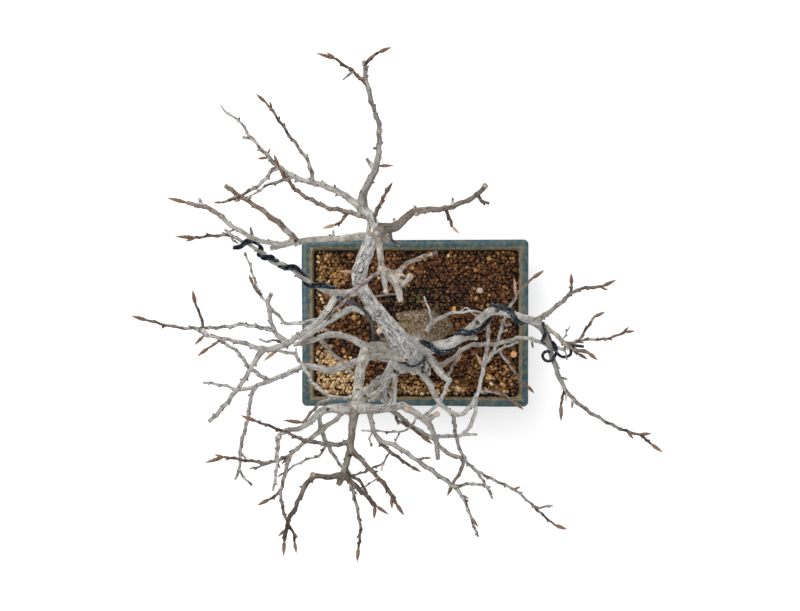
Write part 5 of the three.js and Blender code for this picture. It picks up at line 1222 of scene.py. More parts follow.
def pot_rows():
    """The pot's profile as rows of a slab: up its wall, over the rolled lip and down to its floor."""
    profile = [
        (14.0, 12.6, FOOT_HEIGHT), (12.4, 11.1, 10.2), (11.9, 10.5, 13.0), (7.1, 6.1, 42.9), (3.6, 3.6, 65.0),
        (3.4, 3.4, 66.6), (1.2, 1.2, 67.8), (0.3, 0.3, 69.0), (0.0, 0.0, 71.0), (0.0, 0.0, 75.2),
        (0.45, 0.45, 76.8), (1.4, 1.4, 77.7), (2.8, 2.8, 78.0), (5.6, 5.6, 78.1), (7.6, 7.6, 77.9),
        (9.0, 9.0, 77.5), (10.4, 10.4, 76.8), (11.6, 11.6, 75.8), (12.3, 12.3, 74.4), (12.5, 12.5, 72.5),
        (14.6, 14.4, 55.0), (17.4, 16.0, 30.0), (19.6, 17.6, 19.0), (21.0, 19.0, FOOT_HEIGHT + FLOOR),
    ]
    rows = []
    for inset_x, inset_y, height in profile:
        corner = max(5.8 - 0.2 * inset_x, 3.6)
        rows.append((POT_LENGTH / 2 - inset_x, POT_DEPTH / 2 - inset_y, corner, height))
    return rows


def pot_foot(sign_x, sign_y):
    """One corner foot: an angle of clay with a soft edge, drawn in a little towards the ground."""
    bm = bmesh.new()
    bmesh.ops.create_grid(bm, x_segments=2, y_segments=2, size=0.5)
    inner = [face for face in bm.faces if face.calc_center_median().x > 0 and face.calc_center_median().y > 0]
    bmesh.ops.delete(bm, geom=inner, context="FACES")
    for vert in bm.verts:
        vert.co = Vector((vert.co.x * FOOT_SIZE.x, vert.co.y * FOOT_SIZE.y, 0))
    corners = [vert for vert in bm.verts if len(vert.link_edges) != 4]
    bmesh.ops.bevel(bm, geom=corners, offset=4.0, segments=4, profile=0.5, affect="VERTICES", material=-1)
    made = bmesh.ops.extrude_face_region(bm, geom=bm.faces[:])["geom"]
    lifted = [item for item in made if isinstance(item, bmesh.types.BMVert)]
    bmesh.ops.translate(bm, vec=(0, 0, FOOT_HEIGHT + 1.2), verts=lifted)
    low = [edge for edge in bm.edges if all(vert.co.z < 0.1 for vert in edge.verts)]
    ground = [edge for edge in low if any(abs(face.normal.z) < 0.5 for face in edge.link_faces)]
    ground = [edge for edge in ground if len(edge.link_faces) == 2]
    bmesh.ops.bevel(bm, geom=ground, offset=0.9, segments=3, profile=0.5, affect="EDGES", material=-1)
    turn = Matrix.Diagonal((-sign_x, -sign_y, 1, 1))
    reach_x = POT_LENGTH / 2 - FOOT_INSET - FOOT_SIZE.x / 2
    reach_y = POT_DEPTH / 2 - FOOT_INSET - FOOT_SIZE.y / 2
    middle = Vector((sign_x * reach_x, sign_y * reach_y, 0)) + POT_CENTRE
    bmesh.ops.transform(bm, matrix=Matrix.Translation(middle) @ turn, verts=bm.verts)
    bmesh.ops.recalc_face_normals(bm, faces=bm.faces)
    return bm


def floor_drills():
    """The cutters of the drain holes and of the holes that the tie wire goes through."""
    spots = [(side * DRAIN_SPACING / 2, 0, DRAIN_RADIUS, 40) for side in (-1, 1)]
    spots += [(side * WIRE_HOLE_REACH, -side * WIRE_HOLE_REACH, WIRE_HOLE_RADIUS, 20) for side in (-1, 1)]
    bm = bmesh.new()
    for x, y, radius, sides in spots:
        middle = Matrix.Translation(POT_CENTRE + Vector((x, y, FOOT_HEIGHT + FLOOR / 2)))
        sizes = {"radius1": radius, "radius2": radius, "depth": 2 * FLOOR}
        bmesh.ops.create_cone(bm, cap_ends=True, segments=sides, **sizes, matrix=middle)
    drills = bpy.data.objects.new("drills", mesh_of(bm))
    bpy.context.collection.objects.link(drills)
    return drills


def glaze_share(point, inset):
    """1 where glaze covers a place on the pot, and 0 on the bare clay inside it and at its foot."""
    if inset > 12.6 and not (inset < 15 and point.z < LIP_FROM and outside_wall(point)):
        return 0.0
    return 1 - smoothstep(7.5, 12.7, inset) if point.z > LIP_FROM else smoothstep(9.5, 14, point.z)


def hand_made(point, inset):
    """How far a place on the pot lies off its straight shape: its walls sway, and its lip leans outwards."""
    flat = point - POT_CENTRE
    moved = Vector((0, 0, 0))
    if point.z > FOOT_HEIGHT + 2:
        sway = Vector((noise.noise(point * 0.011), noise.noise(point * 0.011 + UP * 9), 0))
        lean = max(flat.y, 0.0) / POT_DEPTH * (2.2 + 1.4 * flat.x / POT_LENGTH)
        moved += sway * 0.8 + Vector((0, lean, 0))
    if point.z > LIP_FROM:
        rise, edge = smoothstep(4, 10.3, inset), smoothstep(9.5, 12.5, inset)
        right, left = smoothstep(20, 105, flat.x), smoothstep(-20, -105, flat.x)
        far, near = smoothstep(15, 74, flat.y), smoothstep(-15, -74, flat.y)
        push_x = right * (1.2 + 2.8 * rise + 2.4 * edge) - left * (0.7 + 0.7 * rise)
        push_y = far * (0.4 + 1.1 * rise + 1.3 * edge) - near * (0.9 * right + 2.6 * rise + 1.4 * edge)
        moved += Vector((push_x, push_y, 0))
    return moved


def make_pot_mesh():
    """The pot, with its holes cut, and marked with where the glaze lies."""
    drills = floor_drills()
    bm = modified(slab(pot_rows()), "BOOLEAN", object=drills, operation="DIFFERENCE", solver="EXACT")
    bpy.data.objects.remove(drills)
    for sign_x in (-1, 1):
        for sign_y in (-1, 1):
            absorb(bm, pot_foot(sign_x, sign_y))
    glazed = bm.verts.layers.float.new("glazed")
    lip = bm.verts.layers.float.new("lip")
    for vert in bm.verts:
        flat = vert.co - POT_CENTRE
        inset = min(POT_LENGTH / 2 - abs(flat.x), POT_DEPTH / 2 - abs(flat.y))
        vert[glazed] = glaze_share(vert.co, inset)
        vert[lip] = smoothstep(66, 69, vert.co.z)
        vert.co += hand_made(vert.co, inset)
    return mesh_of(bm)


def outside_wall(point):
    """Whether a place on the pot lies on its outer wall and not inside its cavity."""
    flat = point - POT_CENTRE
    share = (point.z - FOOT_HEIGHT) / (RIM_HEIGHT - FOOT_HEIGHT)
    return POT_LENGTH / 2 - abs(flat.x) < 14.5 - 12 * share or POT_DEPTH / 2 - abs(flat.y) < 13 - 10.5 * share


# The soil.

def soil_top(x, y):
    """The height of the soil's surface at a true place."""
    mound = MOUND_HEIGHT * math.exp(-((math.dist((x, y), ROOTS_MIDDLE) / MOUND_SPREAD) ** 2))
    return RIM_HEIGHT + SOIL_LEVEL + mound


def soil_bed():
    """The dark fine soil between and below the grains, which fills the pot; its near-black colour is also
    painted shade.
    """
    half = CAVITY / 2 + Vector((2.2, 2.2))
    low = (half - Vector((3, 3))) * CAVITY_TAPER
    bottom = FOOT_HEIGHT + FLOOR + 1.7
    level = RIM_HEIGHT + SOIL_LEVEL - 6.5
    rows = [(low.x, low.y, 5, bottom), (half.x - 0.4, half.y - 0.3, 5, level)]
    steps = 14
    for number in range(1, steps):
        share = 1 - number / steps
        rows.append(((half.x - 0.4) * share, (half.y - 0.3) * share, 5 * share + 0.02, level))
    bm = slab(rows)
    for vert in bm.verts:
        if vert.co.z > level - 1:
            rough = 0.9 * noise.noise(vert.co * 0.3)
            vert.co.z = soil_top(vert.co.x, vert.co.y) - BED_DEPTH + rough
    return bm


# Where drier grains lie, as seen: the middle, the half widths, the share of such grains there and their kind.
DRY_PATCHES = [
  [-76, -68, 34, 28, 1.0, "tan"], [-84, -10, 8, 60, 0.25, "tan"], [-78, 32, 16, 26, 0.15, "tan"],
  [10, -86, 54, 10, 0.5, "tan"], [10, -84, 62, 12, 0.8, "ochre"], [-74, 24, 22, 38, 0.8, "ochre"],
  [104, -82, 30, 16, 0.15, "tan"], [96, -70, 28, 22, 0.6, "ochre"], [-40, -20, 30, 20, 0.12, "ochre"],
]


def grain_zone(x, y, draw):
    """Which kind of grain lies at a true place: red-brown, ochre, dry tan, or wet and dark."""
    drift = noise.noise(Vector((x, y, 3)) * 0.05)
    damp = math.hypot((x - 24) / 50, (y - 2) / 20)
    if damp + 0.3 * drift < 1.0:
        return "wet"
    scale = sight_scale(SOIL_LEVEL)
    for middle_x, middle_y, wide, deep, share, kind in DRY_PATCHES:
        away = math.hypot((x / scale - middle_x) / wide, (y / scale - middle_y) / deep) + 0.35 * drift
        if draw.random() < share * smoothstep(1.1, 0.75, away):
            return kind
    return "ochre" if draw.random() < 0.05 else "red"


def grain_prototypes():
    """Small, irregular lumps of baked clay, of radius one."""
    prototypes = []
    for number in range(GRAIN_SHAPES):
        bm = bmesh.new()
        bmesh.ops.create_uvsphere(bm, u_segments=6, v_segments=5, radius=1.05)
        for vert in bm.verts:
            lump = noise.noise(vert.co * 0.9 + UP * 7.3 * number)
            edge = noise.noise(vert.co * 2.1 + UP * 3.1 * number)
            vert.co *= 1 + 0.5 * lump + 0.32 * edge
        bmesh.ops.recalc_face_normals(bm, faces=bm.faces)
        # The third layer says how far each part of a grain lies clear of the painted shade deep in the soil.
        for name in ("tint", "wet", "unshaded"):
            bm.verts.layers.float.new(name)
        prototypes.append(mesh_of(bm))
    return prototypes


def grain_spots(pitch, drop, seed):
    """Places of grains in staggered rows over the soil, each with its zone and its radius."""
    draw = random.Random(seed)
    low = GRAINS_LOW + POT_CENTRE.xy
    high = GRAINS_HIGH + POT_CENTRE.xy
    spots = []
    for row in range(int((high.y - low.y) / (pitch * ROW_SPACING)) + 1):
        y = low.y + row * pitch * ROW_SPACING
        x = low.x + (row % 2) * pitch / 2
        while x < high.x:
            spot_x = min(max(x + draw.uniform(-0.3, 0.3) * pitch, low.x), high.x)
            spot_y = min(max(y + draw.uniform(-0.3, 0.3) * pitch, low.y), high.y)
            zone = grain_zone(spot_x, spot_y, draw)
            size = draw.uniform(*GRAIN_SIZE[zone]) * draw.choice((0.75, 1.0, 1.0, 1.15))
            to_wall = min(spot_x - low.x, high.x - spot_x, spot_y - low.y, high.y - spot_y)
            sunk = 3.2 * smoothstep(5, 0, to_wall)
            height = soil_top(spot_x, spot_y) - size * 0.7 - drop - sunk + draw.uniform(-1.5, 0.9)
            spots.append((zone, Vector((spot_x, spot_y, height)), size, draw.random(), draw.random()))
            x += pitch
    return spots


def scatter_grains(spots, prototypes, seed):
    """One mesh of all the grains at the spots, each turned and squeezed in its own way and marked for painted
    shade.
    """
    draw = random.Random(seed)
    whole = bmesh.new()
    for _, middle, size, tint, wet in spots:
        grain = draw.choice(prototypes).copy()
        turn = Matrix.Rotation(draw.uniform(0, math.tau), 4, (draw.uniform(-1, 1), draw.uniform(-1, 1), 1))
        widths = (draw.uniform(0.8, 1.25), draw.uniform(0.8, 1.15), draw.uniform(0.75, 1))
        squeeze = Matrix.Diagonal((*widths, 1))
        grain.transform(Matrix.Translation(middle) @ turn @ squeeze @ Matrix.Scale(size, 4))
        level = soil_top(middle.x, middle.y)
        # Painted shade: 1 at the soil's surface and 0 some 3.4 mm below it, where a grain takes the shade
        # colour.
        shares = [smoothstep(-3.4, 0.3, vert.co.z - level) for vert in grain.vertices]
        for name, values in (("tint", [tint] * len(shares)), ("wet", [wet] * len(shares)), ("unshaded", shares)):
            grain.attributes[name].data.foreach_set("value", values)
        whole.from_mesh(grain)
        bpy.data.meshes.remove(grain)
    return mesh_of(whole)


def moss_tuft(x, y, spread, height, count, seed):
    """Short leafy stems of moss that lean out from one spot."""
    draw = random.Random(seed)
    whole = bmesh.new()
    for _ in range(count):
        turn = draw.uniform(0, math.tau)
        away = spread * math.sqrt(draw.random())
        foot = Vector((x + away * math.cos(turn), y + away * math.sin(turn), 0))
        foot.z = soil_top(foot.x, foot.y) - 2.2
        lean = Matrix.Rotation(draw.uniform(0, 0.7), 4, "Y")
        at = Matrix.Translation(foot) @ Matrix.Rotation(turn, 4, "Z") @ lean
        tall = height * draw.uniform(0.6, 1.2) + 1.6
        radii = (0.42, 0.62, 0.5, 0.34, 0.1)
        stem = tube([(ahead(at, tall * i / 4), radius) for i, radius in enumerate(radii)], 6)
        tint = stem.verts.layers.float.new("tint")
        value = draw.random()
        for vert in stem.verts:
            vert[tint] = value
        absorb(whole, stem)
    return whole


# Materials.

def rgb(red, green, blue):
    """A colour given in the 8-bit steps of a screen, as shaders want it."""
    shares = (red / 255, green / 255, blue / 255)
    return tuple(((share + 0.055) / 1.055) ** 2.4 if share > 0.04 else share / 12.92 for share in shares)


class Weave:
    """Makes and links the nodes of a material or of a node group."""

    def __init__(self, tree):
        self.tree = tree

    def node(self, kind, inputs=(), **settings):
        made = self.tree.nodes.new(kind)
        for key, value in settings.items():
            setattr(made, key, value)
        for key, value in dict(inputs).items():
            self.feed(made.inputs[key], value)
        return made

    def feed(self, socket, value):
        if isinstance(value, bpy.types.NodeSocket):
            self.tree.links.new(value, socket)
        elif socket.type == "RGBA" and len(value) == 3:
            socket.default_value = (*value, 1.0)
        else:
            socket.default_value = value

    def attribute(self, name, output="Fac"):
        return self.node("ShaderNodeAttribute", attribute_name=name).outputs[output]

    def millimetres(self):
        """Where a point of the surface lies, in millimetres."""
        metres = self.node("ShaderNodeTexCoord").outputs["Object"]
        return self.stretch(metres, (1 / MM, 1 / MM, 1 / MM))

    def stretch(self, vector, scale):
        return self.node("ShaderNodeVectorMath", {0: vector, 1: scale}, operation="MULTIPLY").outputs[0]

    def noise(self, vector, scale, detail=3.0, roughness=0.55):
        inputs = {"Vector": vector, "Scale": scale, "Detail": detail, "Roughness": roughness}
        return self.node("ShaderNodeTexNoise", inputs).outputs[0]

    def cells(self, vector, scale, output="Distance"):
        return self.node("ShaderNodeTexVoronoi", {"Vector": vector, "Scale": scale}).outputs[output]

    def math(self, operation, a, b=0.0):
        return self.node("ShaderNodeMath", {0: a, 1: b}, operation=operation).outputs[0]

    def times(self, a, b):
        return self.math("MULTIPLY", a, b)

    def plus(self, a, b):
        return self.math("ADD", a, b)

    def ramp(self, value, low, high, start=0.0, end=1.0):
        inputs = {"Value": value, "From Min": low, "From Max": high, "To Min": start, "To Max": end}
        return self.node("ShaderNodeMapRange", inputs, interpolation_type="SMOOTHSTEP").outputs[0]

    def mix(self, share, a, b, blend="MIX"):
        inputs = {0: share, 6: a, 7: b}
        return self.node("ShaderNodeMix", inputs, data_type="RGBA", blend_type=blend).outputs[2]

    def group(self, tree, inputs):
        made = self.node("ShaderNodeGroup", node_tree=tree)
        for key, value in inputs.items():
            self.feed(made.inputs[key], value)
        return made.outputs

    def grit(self, vector, size):
        return self.group(grit_group(), {"Vector": vector, "Size": size})


def node_group(name, inputs, build):
    """A shader node group whose nodes are made by a function, which gives the masks that it puts out."""
    tree = bpy.data.node_groups.new(name, "ShaderNodeTree")
    for socket, kind in inputs.items():
        tree.interface.new_socket(socket, in_out="INPUT", socket_type=kind)
    weave = Weave(tree)
    fed = build(weave, weave.node("NodeGroupInput").outputs)
    for socket in fed:
        tree.interface.new_socket(socket, in_out="OUTPUT", socket_type="NodeSocketFloat")
    output = weave.node("NodeGroupOutput")
    for socket, value in fed.items():
        weave.feed(output.inputs[socket], value)
    return tree


@functools.cache
def grit_group():
    """Fine baked grit: a mask of small pits and specks, and a height for bumps."""
    def build(weave, given):
        fine = weave.math("DIVIDE", 1.6, given["Size"])
        coarse = weave.math("DIVIDE", 0.55, given["Size"])
        pits = weave.ramp(weave.cells(given["Vector"], fine), 0.1, 0.42)
        clouds = weave.noise(given["Vector"], coarse, 5.0, 0.62)
        return {
            "Specks": weave.ramp(weave.noise(given["Vector"], fine, 3.0, 0.6), 0.46, 0.64),
            "Height": weave.plus(weave.times(pits, 0.45), clouds),
        }
    return node_group("Grit", {"Vector": "NodeSocketVector", "Size": "NodeSocketFloat"}, build)


@functools.cache
def streaks_group():
    """Streaks, cracks and flecks that run lengthwise along a limb."""
    def build(weave, given):
        drawn = weave.stretch(given["Grain"], (0.075, 0.42, 0.42))
        streak = weave.noise(drawn, 1.0, 5.0, 0.62)
        crack_lines = weave.noise(weave.stretch(drawn, (1.3, 2.1, 2.1)), 1.0, 3.0, 0.5)
        from_line = weave.math("ABSOLUTE", weave.math("SUBTRACT", crack_lines, 0.5))
        crack = weave.ramp(from_line, 0.0, 0.05, 1.0, 0.0)
        spots = weave.cells(weave.stretch(given["Grain"], (0.2, 0.3, 0.3)), 1.0)
        fleck = weave.ramp(spots, 0.12, 0.23, 1.0, 0.0)
        raised = weave.math("SUBTRACT", streak, weave.times(crack, 0.3))
        return {
            "Streak": weave.ramp(streak, 0.36, 0.64),
            "Crack": crack,
            "Fleck": fleck,
            "Height": weave.math("SUBTRACT", raised, weave.times(fleck, 0.25)),
        }
    return node_group("Lengthwise Streaks", {"Grain": "NodeSocketVector"}, build)


def surface(name, build, bump=0.0, **settings):
    """A material whose nodes are made by a function of the weave and of the place on the surface.

    The function gives what feeds each socket of the shader, and the height of a bump in millimetres."""
    material = bpy.data.materials.new(name)
    material.use_nodes = True
    material.node_tree.nodes.clear()
    weave = Weave(material.node_tree)
    shader = weave.node("ShaderNodeBsdfPrincipled")
    output = weave.node("ShaderNodeOutputMaterial")
    weave.feed(output.inputs["Surface"], shader.outputs["BSDF"])
    fed = build(weave, weave.millimetres())
    height = fed.pop("Height", None)
    if height is not None:
        raised = weave.node("ShaderNodeBump", {"Height": height, "Distance": bump * MM, "Strength": 1.0})
        weave.feed(shader.inputs["Normal"], raised.outputs[0])
    for key, value in {**settings, **fed}.items():
        weave.feed(shader.inputs[key], value)
    return material


def glaze_material(colours):
    def build(weave, spot):
        clouds = weave.noise(spot, 0.035, 5.0, 0.6)
        mottle = weave.noise(spot, 0.28, 5.0, 0.66)
        teal = weave.mix(weave.ramp(mottle, 0.36, 0.66), colours.glaze_dark, colours.glaze_light)
        steel = weave.mix(weave.ramp(clouds, 0.42, 0.62), teal, rgb(38, 74, 86))
        rust = weave.ramp(weave.noise(spot, 0.09, 6.0, 0.7), 0.56, 0.7)
        thin = weave.times(rust, weave.ramp(weave.attribute("lip"), 0.0, 1.0, 0.15, 0.5))
        glaze = weave.mix(thin, steel, rgb(78, 80, 58))
        grit = weave.grit(spot, 1.3)
        stains = weave.ramp(weave.noise(spot, 0.12, 5.0, 0.65), 0.35, 0.65)
        clay = weave.mix(stains, rgb(84, 76, 56), colours.clay)
        clay = weave.mix(grit["Specks"], clay, rgb(200, 184, 152))
        ragged = weave.times(weave.math("SUBTRACT", weave.noise(spot, 0.2, 5.0), 0.5), 1.5)
        edge = weave.plus(weave.attribute("glazed"), ragged)
        runny = weave.ramp(edge, 0.45, 1.25, 1.0, 0.0)
        glaze = weave.mix(weave.times(runny, 0.8), glaze, rgb(112, 110, 88))
        covered = weave.ramp(edge, 0.36, 0.56)
        craze = weave.times(weave.noise(spot, 0.9, 4.0), 0.5)
        height = weave.plus(weave.times(covered, 0.6), craze)
        return {
            "Base Color": weave.mix(covered, clay, glaze),
            "Roughness": weave.ramp(covered, 0.0, 1.0, 0.85, 0.34),
            "Coat Weight": weave.times(covered, 0.1),
            "Height": weave.plus(height, weave.times(grit["Height"], 0.25)),
        }
    return surface("Mottled glaze", build, bump=0.3, **{"Coat Roughness": 0.12, "Specular IOR Level": 0.25})


def bark_material(colours):
    def build(weave, spot):
        grain = weave.attribute("grain", "Vector")
        young, shoot, root = (weave.attribute(name) for name in ("age", "shoot", "root"))
        cut, knot, tone, dusk = (weave.attribute(name) for name in ("cut", "knot", "tone", "dusk"))
        streaks = weave.group(streaks_group(), {"Grain": grain})
        craggy = weave.ramp(tone, 0.03, 0.12, 1.0, 0.0)
        mottle = weave.ramp(weave.noise(weave.stretch(grain, (0.16, 0.55, 0.55)), 1.0, 5.0, 0.72), 0.4, 0.57)
        broad = weave.ramp(weave.noise(weave.stretch(grain, (0.06, 0.2, 0.2)), 1.0, 4.0, 0.6), 0.34, 0.66)
        lit = weave.mix(0.45, streaks["Streak"], mottle)
        lit = weave.mix(craggy, weave.mix(0.5, broad, lit), lit)
        deep = weave.mix(craggy, rgb(112, 108, 103), colours.bark_dark)
        pale = weave.mix(craggy, rgb(207, 204, 198), colours.bark_light)
        silver = weave.mix(lit, deep, pale)
        beige = weave.mix(lit, rgb(118, 111, 99), rgb(198, 191, 177))
        red = weave.mix(lit, rgb(96, 79, 71), rgb(180, 158, 145))
        old = weave.mix(weave.ramp(tone, 0.2, 0.5), silver, beige)
        old = weave.mix(weave.ramp(tone, 0.5, 1.0), old, red)
        patches = weave.ramp(weave.noise(spot, 0.09, 4.0, 0.6), 0.5, 0.62)
        old = weave.mix(weave.times(patches, 0.4), old, rgb(222, 220, 214))
        grey_twig = weave.mix(mottle, rgb(82, 76, 72), rgb(206, 202, 197))
        brown_twig = weave.mix(mottle, colours.twig_dark, colours.twig_light)
        thin = weave.mix(weave.ramp(tone, 0.1, 0.9), grey_twig, brown_twig)
        bark = weave.mix(weave.ramp(young, 0.35, 1.0), old, thin)
        tips = weave.mix(mottle, rgb(54, 40, 34), rgb(132, 106, 90))
        bark = weave.mix(weave.times(shoot, 0.85), bark, tips)
        bark = weave.mix(dusk, bark, (0.34, 0.32, 0.31), "MULTIPLY")
        marks = weave.times(streaks["Fleck"], weave.ramp(young, 0.0, 1.0, 0.85, 0.75))
        bark = weave.mix(marks, bark, rgb(42, 35, 32))
        crack = weave.times(streaks["Crack"], weave.ramp(craggy, 0.0, 1.0, 0.15, 0.5))
        bark = weave.mix(crack, bark, rgb(58, 52, 49))
        crust = weave.noise(spot, 0.5, 6.0, 0.68)
        shades = weave.ramp(weave.noise(spot, 0.12, 4.0, 0.6), 0.38, 0.6)
        crumbs = weave.mix(shades, rgb(142, 120, 91), rgb(178, 158, 130))
        rooty = weave.mix(weave.ramp(crust, 0.4, 0.62), rgb(62, 49, 34), crumbs)
        rooty = weave.mix(weave.ramp(crust, 0.6, 0.68), rooty, rgb(212, 192, 158))
        bark = weave.mix(root, bark, rooty)
        rings = weave.noise(weave.stretch(grain, (0.2, 1.6, 1.6)), 1.0, 4.0, 0.6)
        heart = weave.mix(weave.ramp(rings, 0.36, 0.66), rgb(196, 152, 116), rgb(240, 220, 196))
        bark = weave.mix(cut, bark, heart)
        # Dark knots and bud scars, and near black inside the hollows: dead wood and painted shade.
        bark = weave.mix(weave.times(knot, 0.9), bark, rgb(34, 27, 24))
        return {
            "Base Color": bark,
            "Roughness": weave.ramp(streaks["Streak"], 0.0, 1.0, 0.84, 0.64),
            "Height": weave.plus(streaks["Height"], weave.times(crust, root)),
        }
    return surface("Bark", build, bump=0.6, **{"Specular IOR Level": 0.25})


def bud_material(colours):
    def build(weave, spot):
        scale = weave.attribute("scale")
        fine = weave.noise(spot, 1.4, 4.0, 0.6)
        copper = weave.mix(weave.ramp(fine, 0.35, 0.65), colours.bud, rgb(158, 120, 90))
        copper = weave.mix(weave.times(weave.attribute("tone"), 0.6), copper, rgb(84, 60, 50))
        copper = weave.mix(weave.times(weave.attribute("pale"), 0.5), copper, rgb(222, 178, 146))
        dark = weave.ramp(weave.attribute("pale"), 0.0, 1.0, 0.9, 0.5)
        edge = weave.times(weave.ramp(scale, 0.3, 0.9), dark)
        return {
            "Base Color": weave.mix(edge, copper, rgb(46, 34, 30)),
            "Roughness": weave.ramp(fine, 0.3, 0.7, 0.42, 0.62),
            "Height": weave.plus(weave.times(scale, 0.7), fine),
        }
    return surface("Bud scales", build, bump=0.12)


def grain_material(name, shade, dark, light, odd, gloss=0.9):
    """Baked clay grains from dark to light, now and then an odd one, with painted shade where they lie deep.
    """
    def build(weave, spot):
        tint, wet = weave.attribute("tint"), weave.attribute("wet")
        grit = weave.grit(spot, 0.8)
        base = weave.mix(weave.ramp(tint, 0.1, 0.85), dark, light)
        base = weave.mix(weave.ramp(tint, 0.93, 0.97), base, odd)
        clouds = weave.ramp(weave.noise(spot, 0.5, 4.0, 0.65), 0.42, 0.6)
        base = weave.mix(weave.times(clouds, 0.45), base, dark)
        base = weave.mix(weave.times(grit["Specks"], 0.35), base, light)
        base = weave.mix(weave.times(weave.ramp(wet, 0.5, 1.0), 0.4), base, dark)
        return {
            # Painted shade: the deeper a part of a grain lies, the more it takes the shade colour.
            "Base Color": weave.mix(weave.ramp(weave.attribute("unshaded"), 0.15, 0.9), shade, base),
            "Roughness": weave.ramp(wet, 0.5, 1.0, gloss, gloss - 0.2),
            "Height": grit["Height"],
        }
    return surface(name, build, bump=0.4, **{"Specular IOR Level": 0.3})


def moss_material():
    def build(weave, spot):
        shade = weave.mix(weave.attribute("tint"), rgb(80, 92, 42), rgb(164, 174, 112))
        fine = weave.noise(spot, 2.2, 3.0)
        return {
            "Base Color": weave.mix(weave.ramp(fine, 0.4, 0.7), shade, rgb(84, 72, 34)),
            "Roughness": weave.ramp(fine, 0.3, 0.7, 0.6, 0.85),
            "Height": fine,
        }
    return surface("Moss", build, bump=0.3)


def wire_material(name, dark, light, metal, shine):
    """Drawn wire with fine scratches and dull patches, and lighter worn patches that are also painted glints.
    """
    def build(weave, spot):
        dull = weave.noise(spot, 0.35, 4.0, 0.6)
        scratch = weave.noise(spot, 3.2, 3.0, 0.5)
        # Worn patches take the lighter colour: real wear and painted glints.
        wear_and_glints = weave.times(weave.ramp(dull, 0.48, 0.64), weave.ramp(scratch, 0.38, 0.56))
        return {
            "Base Color": weave.mix(wear_and_glints, dark, light),
            "Roughness": weave.ramp(dull, 0.3, 0.7, shine, shine + 0.2),
            "Metallic": weave.ramp(wear_and_glints, 0.0, 1.0, metal, metal * 0.8),
            "Height": weave.plus(scratch, dull),
        }
    return surface(name, build, bump=0.05, **{"Specular Tint": (0.62, 0.7, 0.78, 1.0)})


def net_material():
    def build(weave, spot):
        fine = weave.noise(spot, 1.1, 4.0, 0.6)
        return {
            "Base Color": weave.mix(weave.ramp(fine, 0.5, 0.75), rgb(34, 36, 38), rgb(74, 66, 58)),
            "Roughness": weave.ramp(fine, 0.3, 0.7, 0.5, 0.75),
            "Height": fine,
        }
    return surface("Moulded net", build, bump=0.08)


def speckled_material(name, base, speck, size, bump, rough=(0.6, 0.8)):
    """Stone or clay with fine specks and pits of a size."""
    def build(weave, spot):
        grit = weave.grit(spot, size)
        return {
            "Base Color": weave.mix(grit["Specks"], base, speck),
            "Roughness": weave.ramp(grit["Specks"], 0.0, 1.0, *rough),
            "Height": grit["Height"],
        }
    return surface(name, build, bump=bump)


def floor_material(colour):
    def build(weave, spot):
        paper = weave.noise(spot, 0.02, 2.0)
        return {
            "Base Color": weave.mix(weave.ramp(paper, 0.2, 0.8), colour, tuple(0.995 * c for c in colour)),
            "Roughness": weave.ramp(paper, 0.2, 0.8, 0.88, 0.92),
        }
    glow = {"Emission Color": (1.0, 1.0, 1.0), "Emission Strength": 0.5}
    return surface("Paper floor", build, **{"Specular IOR Level": 0.0}, **glow)


# What a user would change.

def colour_property(name, description, default):
    return FloatVectorProperty(name=name, description=description, subtype="COLOR", size=3, min=0, max=1,
                               default=default)


def length_property(name, description, default, low, high):
    """A length whose default and limits are given in millimetres."""
    limits = {"default": default * MM, "min": low * MM, "max": high * MM}
    return FloatProperty(name=name, description=description, **limits, subtype="DISTANCE", unit="LENGTH")


class PotSettings(bpy.types.PropertyGroup):
    glaze_dark: colour_property("Dark glaze", "Colour of the glaze where it lies thick", rgb(20, 51, 58))
    glaze_light: colour_property("Light glaze", "Colour of the glaze where it lies thin", rgb(42, 82, 88))
    clay: colour_property("Clay", "Colour of the bare clay", rgb(146, 132, 104))


class SoilSettings(bpy.types.PropertyGroup):
    pitch: length_property("Grain pitch", "Distance between grains", 3.9, 3, 9)
    seed: IntProperty(name="Seed", description="Number that the grains' places are drawn from", default=11)
    red: colour_property("Red-brown grains", "Lighter colour of the common grains", rgb(134, 86, 48))
    tan: colour_property("Tan grains", "Lighter colour of the dry grains", rgb(240, 210, 162))


class TreeSettings(bpy.types.PropertyGroup):
    voxel: length_property("Fusing step", "Size of the steps in which thick wood is fused", 1.15, 0.8, 3)
    bark_light: colour_property("Light bark", "Colour of the bark's ridges", rgb(250, 248, 244))
    bark_dark: colour_property("Dark bark", "Colour of the bark's furrows", rgb(80, 77, 74))
    twig_light: colour_property("Light twig", "Lighter colour of the young shoots", rgb(158, 138, 126))
    twig_dark: colour_property("Dark twig", "Darker colour of the young shoots", rgb(60, 48, 42))
    bud: colour_property("Bud", "Colour of the bud scales", rgb(112, 76, 54))


class WireSettings(bpy.types.PropertyGroup):
    left: length_property("Left strand", "Radius of each strand on the left limb", 1.25, 0.5, 2)
    right: length_property("Right strand", "Radius of each strand on the right limb", 1.4, 0.5, 2)
    gap: length_property("Gap", "Gap between the wire and the bark", 0.15, 0, 1)
    metal: colour_property("Wire", "Colour of the dark wire", rgb(14, 20, 27))


class StageSettings(bpy.types.PropertyGroup):
    light: FloatProperty(name="Light", description="Strength of the lamps", default=1.0, min=0, max=10)
    floor: colour_property("Floor", "Colour of the floor", (0.6, 0.6, 0.6))


# Operators.

class MakePot(bpy.types.Operator):
    """Makes the glazed pot with its feet and the holes in its floor"""

    bl_idname = "bonsai.make_pot"
    bl_label = "Make Pot"

    def execute(self, context):
        material = glaze_material(context.scene.bonsai_pot)
        finish_piece("glazed_pot", make_pot_mesh(), material, ["pot"], sharp_angle=50)
        return {"FINISHED"}


